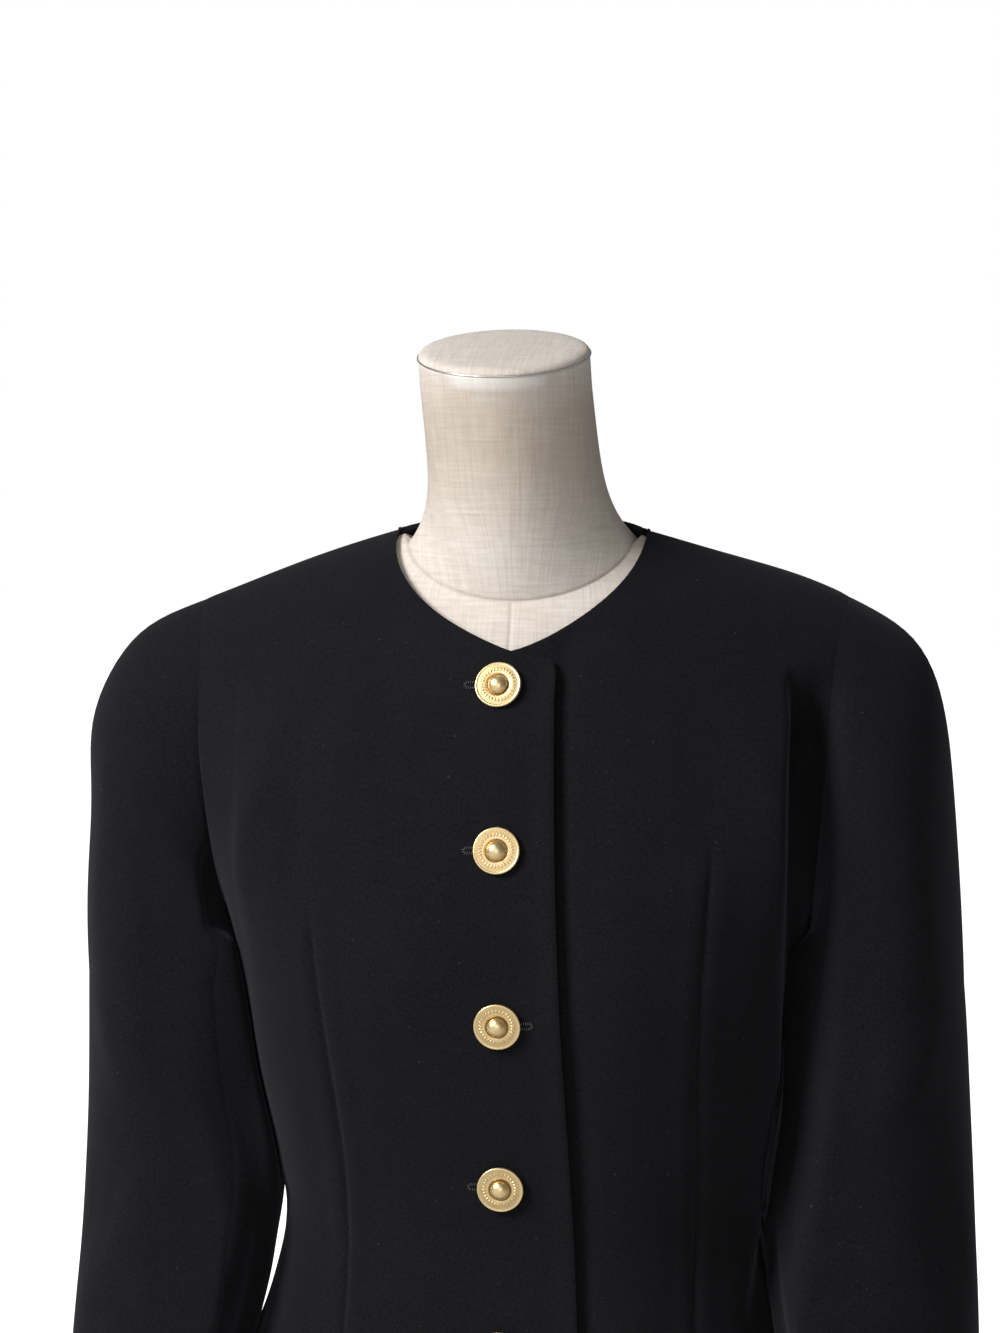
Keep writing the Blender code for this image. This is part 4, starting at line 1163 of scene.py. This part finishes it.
def modelButton():
    b = buttons
    piece = newTurned("buttonModel", b["sides"], 0.0133, 0.0004, 0.0013)
    chooseFaces(piece, lambda f: f.normal.z > 0.9)
    stepUp(b["rings"])
    chooseFaces(piece, lambda f: f.normal.z < -0.9)
    bpy.ops.mesh.inset(thickness=0.0012, depth=0.0004)
    bpy.ops.mesh.inset(thickness=0.0121 - b["shankRadius"], depth=0)
    bpy.ops.mesh.extrude_region_move(TRANSFORM_OT_translate={"value": (0, 0, -b["shank"])})
    # the raised marks of the ring: one small bead, drawn out towards the edge, spun round
    bpy.ops.mesh.select_all(action="DESELECT")
    bpy.ops.mesh.primitive_uv_sphere_add(
        segments=8, ring_count=6, radius=0.00042, location=b["tickPlace"])
    bpy.ops.transform.resize(value=(2.6, 1.0, 0.85), center_override=b["tickPlace"])
    copies = b["ticks"] - 1
    turn = 2 * pi * copies / b["ticks"]
    bpy.ops.mesh.spin(steps=copies, dupli=True, angle=turn, center=(0, 0, 0), axis=(0, 0, 1))
    return doneTurned(piece, giltMaterial, 50)


def paintButtonShade(piece):
    # painted shade: dark in the groove round the boss, in the line inside the rim, on the low field
    # and behind
    places = vertexPlaces(piece)
    radius, height = np.hypot(places[:, 0], places[:, 1]), places[:, 2]
    dark = np.maximum(bell(radius - 0.0060, 0.00050), 0.25 * bell(radius - 0.01185, 0.00030))
    field = (radius > 0.0072) & (radius < 0.0112) & (height < 0.00195)
    dark = np.maximum(dark, np.where(field, 0.32, 0))
    setAttribute(piece, "buttonShade", np.where(height < 0.0004, 0.8, dark))


def modelStitch():
    # one stitch of a worked buttonhole, lying across the edge of the slit
    piece = newTurned("stitchModel", 8, 0.00030, -0.0006, 0.0006)
    chooseFaces(piece, lambda f: abs(f.normal.z) > 0.9)
    bpy.ops.mesh.inset(thickness=0.00012, depth=0.00014)
    bpy.ops.object.mode_set(mode="OBJECT")
    piece.data.transform(Matrix.Rotation(pi / 2, 4, "X"))
    return piece


def buttonholePiece(name, stitch, place, normal, level, upright):
    # stitches round a slit that is longer than the button is wide
    length, width, count = buttons["holeLength"], buttons["holeWidth"], buttons["stitches"]
    straight, radius = length - width, width / 2
    half = straight + pi * radius
    base = Matrix((level, upright, normal)).transposed()
    verts, faces = [], []
    for k in range(count):  # along one edge and round its end, and back the same way
        far, s = divmod((k + 0.5) / count * 2 * half, half)
        turn = -max(0, s - straight) / radius
        x, y = min(s, straight) - straight / 2 - sin(turn) * radius, cos(turn) * radius
        if far:
            x, y, turn = -x, -y, turn + pi
        spot, away = surfaceFrame(place[0] + x, place[1] - y)[:2]
        turned = (base @ Matrix.Rotation(turn, 3, "Z")).to_4x4()
        matrix = Matrix.Translation(spot + away * 0.00028) @ turned
        first = len(verts)
        verts += [matrix @ v.co for v in stitch.data.vertices]
        faces += [tuple(first + i for i in f.vertices) for f in stitch.data.polygons]
    mesh = bpy.data.meshes.new(name)
    mesh.from_pydata(verts, [], faces)
    mesh.materials.append(threadMaterial)
    mesh.shade_smooth()
    return finishPiece(newObject(name, mesh), "wool")


buttonModel, stitchModel = modelButton(), modelStitch()
paintButtonShade(buttonModel)
for i, (x, drop) in enumerate(buttons["places"]):
    low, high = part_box(f"button_{i + 1}")
    place, normal, level, upright = surfaceFrame(x, drop)
    centre = (low + high) / 2
    seat = (centre - place).dot(normal) - (buttons["height"] - buttons["shank"]) / 2
    button = newObject(f"button{i + 1}", buttonModel.data.copy())
    turn = Matrix.Rotation(buttons["turn"] * i, 3, "Z")
    turn = Matrix((level, upright, normal)).transposed() @ turn
    button.data.transform(Matrix.Translation(place + normal * seat) @ turn.to_4x4())
    finishPiece(button, "gilt", f"button_{i + 1}")
    holeAt = (x + buttons["holeShift"][i], drop)
    buttonholePiece(f"buttonhole{i + 1}", stitchModel, holeAt, normal, level, upright)
for model in (buttonModel, stitchModel):
    bpy.data.objects.remove(model)
print("buttons made")


form = {
    "clearance": 0.0033,  # between its shoulders and the jacket's outer face
    # drop, half width, depth in front, depth behind, squareness
    "levels": [
        (0.700, 0.172, 0.110, 0.119, 2.20),
        (0.600, 0.176, 0.110, 0.120, 2.20),
        (0.500, 0.155, 0.099, 0.100, 2.20),
        (0.405, 0.127, 0.087, 0.076, 2.20),
        (0.310, 0.141, 0.103, 0.087, 2.30),
        (0.260, 0.152, 0.112, 0.092, 2.40),
        (0.225, 0.158, 0.111, 0.094, 2.40),
    ],
    "forms": {-1: [], 1: []},  # it is smooth all over
    # x and drop, up its side and over the end of its shoulder
    "shoulderEnd": [(0.1580, 0.2250), (0.1600, 0.1800), (0.1645, 0.1350), (0.1695, 0.0950),
                    (0.1685, 0.0670), (0.1620, 0.0480), (0.1480, 0.0362)],
    "lastRises": [0.885, 0.905, 0.925, 0.942, 0.957, 0.970, 0.982, 0.992, 1],  # closer rows
    # where the neck begins: half width, drops in front, at the side and behind, inset behind
    "neckBase": (0.0660, 0.0376, 0.0055, -0.0070, 0.90),
    "neckTop": (0.0, -0.0500, 0.9125),
    "neckAside": -0.0045,  # how far the neck's top leans to the wearer's right
    "neckTilt": 13,
    "neckRadii": (0.0490, 0.0520),
    "neckFlare": 6,
    # inward and up from the neck's top edge, over its rim
    "neckRim": [(0.0008, 0.0), (0.0030, 0.0), (0.0100, -0.0005), (0.0250, -0.0005)],
    "tapeHighlight": (34, 0.0085, 0.00045),  # half its turn in degrees, width and thickness
    "seamDepth": 0.0005,
    "seamWidth": 0.0009,
}


def formRidge(x, peak):
    end = form["shoulderEnd"][3:][::-1]
    over = curveAt([p[0] for p in end], [p[1] for p in end], x)
    smooth = x + 0.02 * np.exp(-x / 0.02)  # no ridge down the middle
    return np.where(x <= end[0][0], ridgeDrop(smooth, peak) + form["clearance"], over)


def formHalfWidth(drop):
    side = form["shoulderEnd"][:4]
    along = curveAt([p[1] for p in side], [p[0] for p in side], drop)
    return np.where(drop <= side[-1][1], side[-1][0] + 0.05 * (side[-1][1] - drop), along)


def formPoints(x, drop, facing):
    ridge = formRidge(x, body["dome"][facing]["peak"])
    depth = domeDepth(x, drop, facing, form["levels"][-1], formHalfWidth(drop), ridge)
    return points(x, depth, drop)


def neckBasePoints(turn):
    # 0 in front, 1 over the shoulder, 2 at the nape
    halfWidth, front, side, back, inset = form["neckBase"]
    angle = turn * pi / 2
    x = halfWidth * np.sin(angle)
    ahead = formPoints(x, side + (front - side) * np.maximum(0, np.cos(angle)) ** 1.2, -1)
    behind = formPoints(x, side + (side - back) * np.minimum(0, np.cos(angle)), 1)
    behind[..., 1] = body["shoulderY"] + inset * (behind[..., 1] - body["shoulderY"])
    over = points(x, np.full(x.shape, body["shoulderY"]), np.full(x.shape, side))
    made = np.where((turn < 1)[..., None], ahead, behind)
    return np.where(np.isclose(turn, 1)[..., None], over, made)


def neckRings(shares, turns):
    tilt = np.array(Matrix.Rotation(radians(form["neckTilt"]), 3, "X"))
    (wide, deep), middle, angle = form["neckRadii"], np.array(form["neckTop"]), turns * pi / 2
    spokes = np.stack((wide * np.sin(angle), -deep * np.cos(angle), 0 * angle), -1) @ tilt.T
    top, base = middle + spokes, neckBasePoints(turns)
    rows = []
    for share in shares:
        row = base + (top - base) * share
        row[:, 0] = top[:, 0] + (base[:, 0] - top[:, 0]) * (1 - share) ** form["neckFlare"]
        rows.append(row)
    spokes /= np.linalg.norm(spokes, axis=-1, keepdims=True)
    for inward, rise in form["neckRim"]:
        rows.append(top - spokes * inward + tilt[:, 2] * rise)
    return np.array(rows)


def formShares():
    # columns of a quarter, close together at the centre seam and at the shoulder
    neck = np.concatenate(([0, 0.0045, 0.010, 0.018, 0.028], np.linspace(0.045, 0.5, 20)))
    return np.concatenate((neck, np.linspace(0.5, 1, 22)[1:])), len(neck)


def formQuarter(facing):
    shares = formShares()[0]
    low = lowerPoints(shares, np.linspace(0.700, 0.231, 62)[:, None], facing, form)
    side, neckX, y0 = form["shoulderEnd"], form["neckBase"][0], body["shoulderY"]
    armpitDrop = side[0][1]
    start = lowerPoints(shares, np.full(shares.shape, armpitDrop), facing, form)
    quarter = np.clip(shares / 0.5, 0, 1)
    base = neckBasePoints(quarter if facing < 0 else 2 - quarter)
    seamX = neckX + np.clip((shares - 0.5) / 0.5, 0, 1) * (side[-1][0] - neckX)
    onNeck = shares <= 0.5
    topX = np.where(onNeck, base[:, 0], seamX)
    topDrop = np.where(onNeck, dropOf(base), formRidge(seamX, 0))
    rises = np.concatenate((np.linspace(0, 0.86, 26)[1:], form["lastRises"]))
    rows = [start]
    for rise in rises:
        x, drop = risen(shares, rise, (start[:, 0], armpitDrop), (topX, topDrop), side)
        row = formPoints(x, drop, facing)
        row[-1, 1] = y0 * (1 - (1 - rise) ** body["armholeCurve"])
        rows.append(row)
    rows[-1][onNeck] = base[onNeck]
    rows[-1][~onNeck, 1] = y0
    return np.concatenate((low, np.array(rows)))


def addGrid(live, grid, flipped=False):
    verts = [[live.verts.new(p) for p in row] for row in grid]
    for below, above in zip(verts, verts[1:]):
        for i in range(len(below) - 1):
            corners = (below[i], below[i + 1], above[i + 1], above[i])
            live.faces.new(corners[::-1] if flipped else corners)


def nearLine(places, line):
    # distance from each place to a line of points
    best = np.full(len(places), 1e9)
    for a, b in zip(line, line[1:]):
        run = b - a
        t = np.clip(((places - a) @ run) / max(run @ run, 1e-12), 0, 1)
        best = np.minimum(best, np.linalg.norm(places - a - t[:, None] * run, axis=1))
    return best


def makeForm():
    live = bmesh.new()
    front, behind = formQuarter(-1), formQuarter(1)
    shares, neckCount = formShares()
    quarter = shares[:neckCount] / 0.5
    turns = np.concatenate((quarter, (2 - quarter)[::-1][1:]))
    near = np.array([0, 0.004, 0.009, 0.016, 0.026, 0.040])
    neck = neckRings(np.concatenate((near, np.linspace(0.06, 0.985, 34), [1.0])), turns)
    addGrid(live, front)
    addGrid(live, behind, flipped=True)
    addGrid(live, neck)
    bmesh.ops.remove_doubles(live, verts=live.verts, dist=2e-5)
    every = live.verts[:] + live.edges[:] + live.faces[:]
    bmesh.ops.mirror(live, geom=every, axis="X", merge_dist=2e-5)
    bmesh.ops.remove_doubles(live, verts=live.verts, dist=2e-5)
    bmesh.ops.holes_fill(live, edges=[e for e in live.edges if e.is_boundary], sides=0)
    bmesh.ops.recalc_face_normals(live, faces=live.faces)
    mesh = bpy.data.meshes.new("formBody")
    live.to_mesh(mesh)
    live.free()
    piece = newObject("formBody", mesh)
    places = vertexPlaces(piece)
    normals = np.array([v.normal for v in mesh.vertices])
    # seams of the cover: round the neck, down the middle before and behind, and at each side
    half, other = neckBasePoints(np.linspace(0, 2, 160)), np.array((-1.0, 1.0, 1.0))
    ring = np.concatenate((half, half[::-1] * other))
    seam, flank = np.zeros(len(places)), front[:, -1]
    for line in (ring, front[:, 0], behind[:, 0], neck[:-4, -1], flank, flank * other):
        seam = np.maximum(seam, bell(nearLine(places, line), form["seamWidth"]))
    # a strip of tape shows under the rim, in front, raised and painted pale: a painted highlight
    # where the rolled edge catches the light
    halfTurn, width, thickness = form["tapeHighlight"]
    tilt = Matrix.Rotation(-radians(form["neckTilt"]), 3, "X")
    own = (places - np.array(form["neckTop"])) @ np.array(tilt).T
    around = np.degrees(np.arctan2(own[:, 0] - 0.003, -own[:, 1]))
    tapeHighlight = fade((halfTurn - np.abs(around)) / 5) * fade((own[:, 2] + width) / 0.0020)
    tapeHighlight = tapeHighlight * fade((0.0005 - own[:, 2]) / 0.0010)
    places = places + normals * (tapeHighlight * thickness - seam * form["seamDepth"])[:, None]
    places[:, 0] += form["neckAside"] * np.interp(places[:, 2], [0.795, 0.895], [0.0, 1.0])
    mesh.vertices.foreach_set("co", places.ravel())
    setAttribute(piece, "seam", seam)
    setAttribute(piece, "tapeHighlight", tapeHighlight)
    # the cover's threads run round the form and up it
    middle = np.interp(places[:, 2], [0.78, 0.92], [0.0, form["neckTop"][1]])
    radius = np.interp(places[:, 2], [0.70, 0.83, 0.95], [0.16, 0.055, 0.050])
    angle = np.arctan2(places[:, 0], middle - places[:, 1])
    setCut(mesh, np.stack((angle * radius, places[:, 2]), -1))
    mesh.update()
    mesh.materials.append(linenMaterial)
    mesh.shade_smooth()
    return finishPiece(piece, "linen", "form_torso")


def capPlace():
    tilt, (wide, deep) = Matrix.Rotation(radians(form["neckTilt"]), 4, "X"), form["neckRadii"]
    seat = Vector(form["neckTop"]) + tilt.to_3x3() @ Vector((0, 0, cap["gap"]))
    seat.x += form["neckAside"]
    return Matrix.Translation(seat) @ tilt @ Matrix.Diagonal((1, deep / wide, 1, 1))


cap = {
    "gap": 0.0003,  # between it and the neck
    # radius and height, from the edge inwards
    "rings": [
        (0.0490, 0.0010), (0.0487, 0.0018), (0.0478, 0.0028), (0.0462, 0.0037), (0.0440, 0.0043),
        (0.0400, 0.0048), (0.0340, 0.0052), (0.0250, 0.0055), (0.0130, 0.0057), (0.0030, 0.0058),
    ],
    "wire": 0.0006,
}


def makeCap():
    piece = newTurned("neckCap", 96, 0.0490, 0.0, 0.0010)
    chooseFaces(piece, lambda f: f.normal.z > 0.9)
    stepUp(cap["rings"])
    doneTurned(piece, linenMaterial, 60)
    places = vertexPlaces(piece)
    setCut(piece.data, places[:, :2])
    piece.data.transform(capPlace())
    setAttribute(piece, "seam", bell(places[:, 2] - 0.0004, 0.0006) * 0.5)
    return finishPiece(piece, "linen", "form_neck_cap")


def makeWire():
    # a thin bright wire in the joint between neck and cap
    bpy.ops.object.select_all(action="DESELECT")
    bpy.ops.mesh.primitive_torus_add(
        major_segments=128, minor_segments=10, major_radius=0.0492, minor_radius=cap["wire"])
    piece = bpy.context.active_object
    piece.name = piece.data.name = "capWire"
    bpy.ops.object.mode_set(mode="EDIT")
    bpy.ops.mesh.select_all(action="SELECT")
    bpy.ops.transform.resize(value=(1, 1, 0.8), center_override=(0, 0, 0))
    doneTurned(piece, silverMaterial, 60)
    piece.data.transform(capPlace())
    return finishPiece(piece, "steel")


makeForm()
makeCap()
makeWire()
print("form made")


stand = {
    "baseRadius": 0.150,
    # radius and height, from the edge inwards
    "base": [(0.150, 0.005), (0.1497, 0.0060), (0.1488, 0.0070), (0.1474, 0.0077), (0.1455, 0.0080),
             (0.060, 0.0080), (0.0585, 0.0076), (0.0570, 0.0080), (0.0320, 0.0080)],
    "stemRadius": 0.016,
    "stemFoot": 0.0083,
    "stemTop": 0.1097,
    "collar": 0.014,  # height of the flare at each of its ends
    # radius, and height above the start of the flare
    "topFlare": [(0.016, 0), (0.0166, 0.0015), (0.0180, 0.0030), (0.0440, 0.0090),
                 (0.0450, 0.0100), (0.0450, 0.0134), (0.0444, 0.0140)],
    "footFlare": [(0.016, 0), (0.0166, 0.0020), (0.0180, 0.0045), (0.0220, 0.0080),
                  (0.0285, 0.0105), (0.0300, 0.0125), (0.0300, 0.0140)],
}


def makeStand():
    base = newTurned("standBase", 128, stand["baseRadius"], 0.0, 0.005)
    chooseFaces(base, lambda f: f.normal.z > 0.9)
    stepUp(stand["base"])
    chooseFaces(base, lambda f: f.normal.z < -0.9)
    bpy.ops.mesh.inset(thickness=0.002, depth=0)
    doneTurned(base, steelMaterial, 45)
    # the lower edge is broken
    places = vertexPlaces(base)
    edge = (places[:, 2] < 0.0001) & (np.hypot(places[:, 0], places[:, 1]) > 0.149)
    places[edge, 2] = 0.0008
    base.data.vertices.foreach_set("co", places.ravel())
    base.data.update()
    finishPiece(base, "steel", "form_base")
    low, high = stand["stemFoot"] + stand["collar"], stand["stemTop"] - stand["collar"]
    stem = newTurned("standStem", 64, stand["stemRadius"], low, high)
    chooseFaces(stem, lambda f: f.normal.z > 0.9)
    stepUp(stand["topFlare"])
    chooseFaces(stem, lambda f: f.normal.z < -0.9)
    stepUp(stand["footFlare"])
    doneTurned(stem, steelMaterial, 45)
    return finishPiece(stem, "steel", "form_stem")


makeStand()
print("stand made")


studio = {
    "key": (-2.2, -2.0, 2.5, 1.4, 142),  # place, size, power
    "front": (0.2, -2.8, 1.0, 1.6, 13),
    "target": (0, 0, 0.75),
    "world": 0.17,
    "tint": (1, 0.99, 0.98, 1),
    "floorGlow": 0.17,  # what the floor adds to the light; it is white to look at
    "floorBounce": (0.48, 0.48, 0.48),  # and what it throws back
}


def makeStudio():
    scene = bpy.context.scene
    bpy.ops.object.select_all(action="DESELECT")
    bpy.ops.mesh.primitive_circle_add(vertices=96, radius=9.0, fill_type="NGON")
    floor = bpy.context.active_object
    floor.name = floor.data.name = "studioFloor"
    white = (1, 1, 1, 1)
    values = {"Roughness": 0.9, "Emission Color": white}
    material, tree, surface, place = newMaterial("paleFloor", values)
    seen = addNode(tree, "LightPath", {}, "Is Camera Ray")
    pale = colourMix(tree, noiseAt(tree, place, 30, 3), (0.90, 0.90, 0.90), (0.93, 0.93, 0.93))
    dimmed = colourMix(tree, seen, studio["floorBounce"], pale)
    tree.links.new(dimmed, surface["Base Color"])
    glow = mathNode(tree, "MAXIMUM", seen, studio["floorGlow"])
    tree.links.new(glow, surface["Emission Strength"])
    floor.data.materials.append(material)
    world = bpy.data.worlds.new("studioWorld")
    world.use_nodes = True
    tree = world.node_tree
    seen = addNode(tree, "LightPath", {}, "Is Camera Ray")
    soft = addNode(tree, "Background", {"Color": studio["tint"], "Strength": studio["world"]})
    backdrop = addNode(tree, "Background", {"Color": white})  # white to look at
    mixed = addNode(tree, "MixShader", {0: seen, 1: soft, 2: backdrop})
    tree.links.new(mixed, tree.nodes["World Output"].inputs["Surface"])
    scene.world = world
    for name in ("key", "front"):
        x, y, z, size, power = studio[name]
        light = newObject(name + "Light", bpy.data.lights.new(name + "Light", "AREA"))
        light.data.size, light.data.energy = size, power
        light.location = (x, y, z)
        towards = Vector(studio["target"]) - light.location
        light.rotation_euler = towards.to_track_quat("-Z", "Y").to_euler()
    scene.view_settings.view_transform = "Standard"


camera = {
    "azimuth": 7.5,
    "elevation": 5.0,
    "distance": 2.2,
    "target": (-0.0135, 0.0, 0.730),
    "heightSeen": 1333 / 1700,  # metres at the target, in the photo's frame of 1000 by 1333
}


def makeCamera():
    a, e = radians(camera["azimuth"]), radians(camera["elevation"])
    back = Vector((sin(a) * cos(e), -cos(a) * cos(e), sin(e)))
    seen = newObject("photoCamera", bpy.data.cameras.new("photoCamera"))
    seen.location = Vector(camera["target"]) + back * camera["distance"]
    seen.rotation_euler = (-back).to_track_quat("-Z", "Y").to_euler()
    seen.data.sensor_width = 36
    seen.data.lens = 18 * camera["distance"] / (camera["heightSeen"] / 2)
    bpy.context.scene.camera = seen


makeStudio()
makeCamera()
print("studio made")
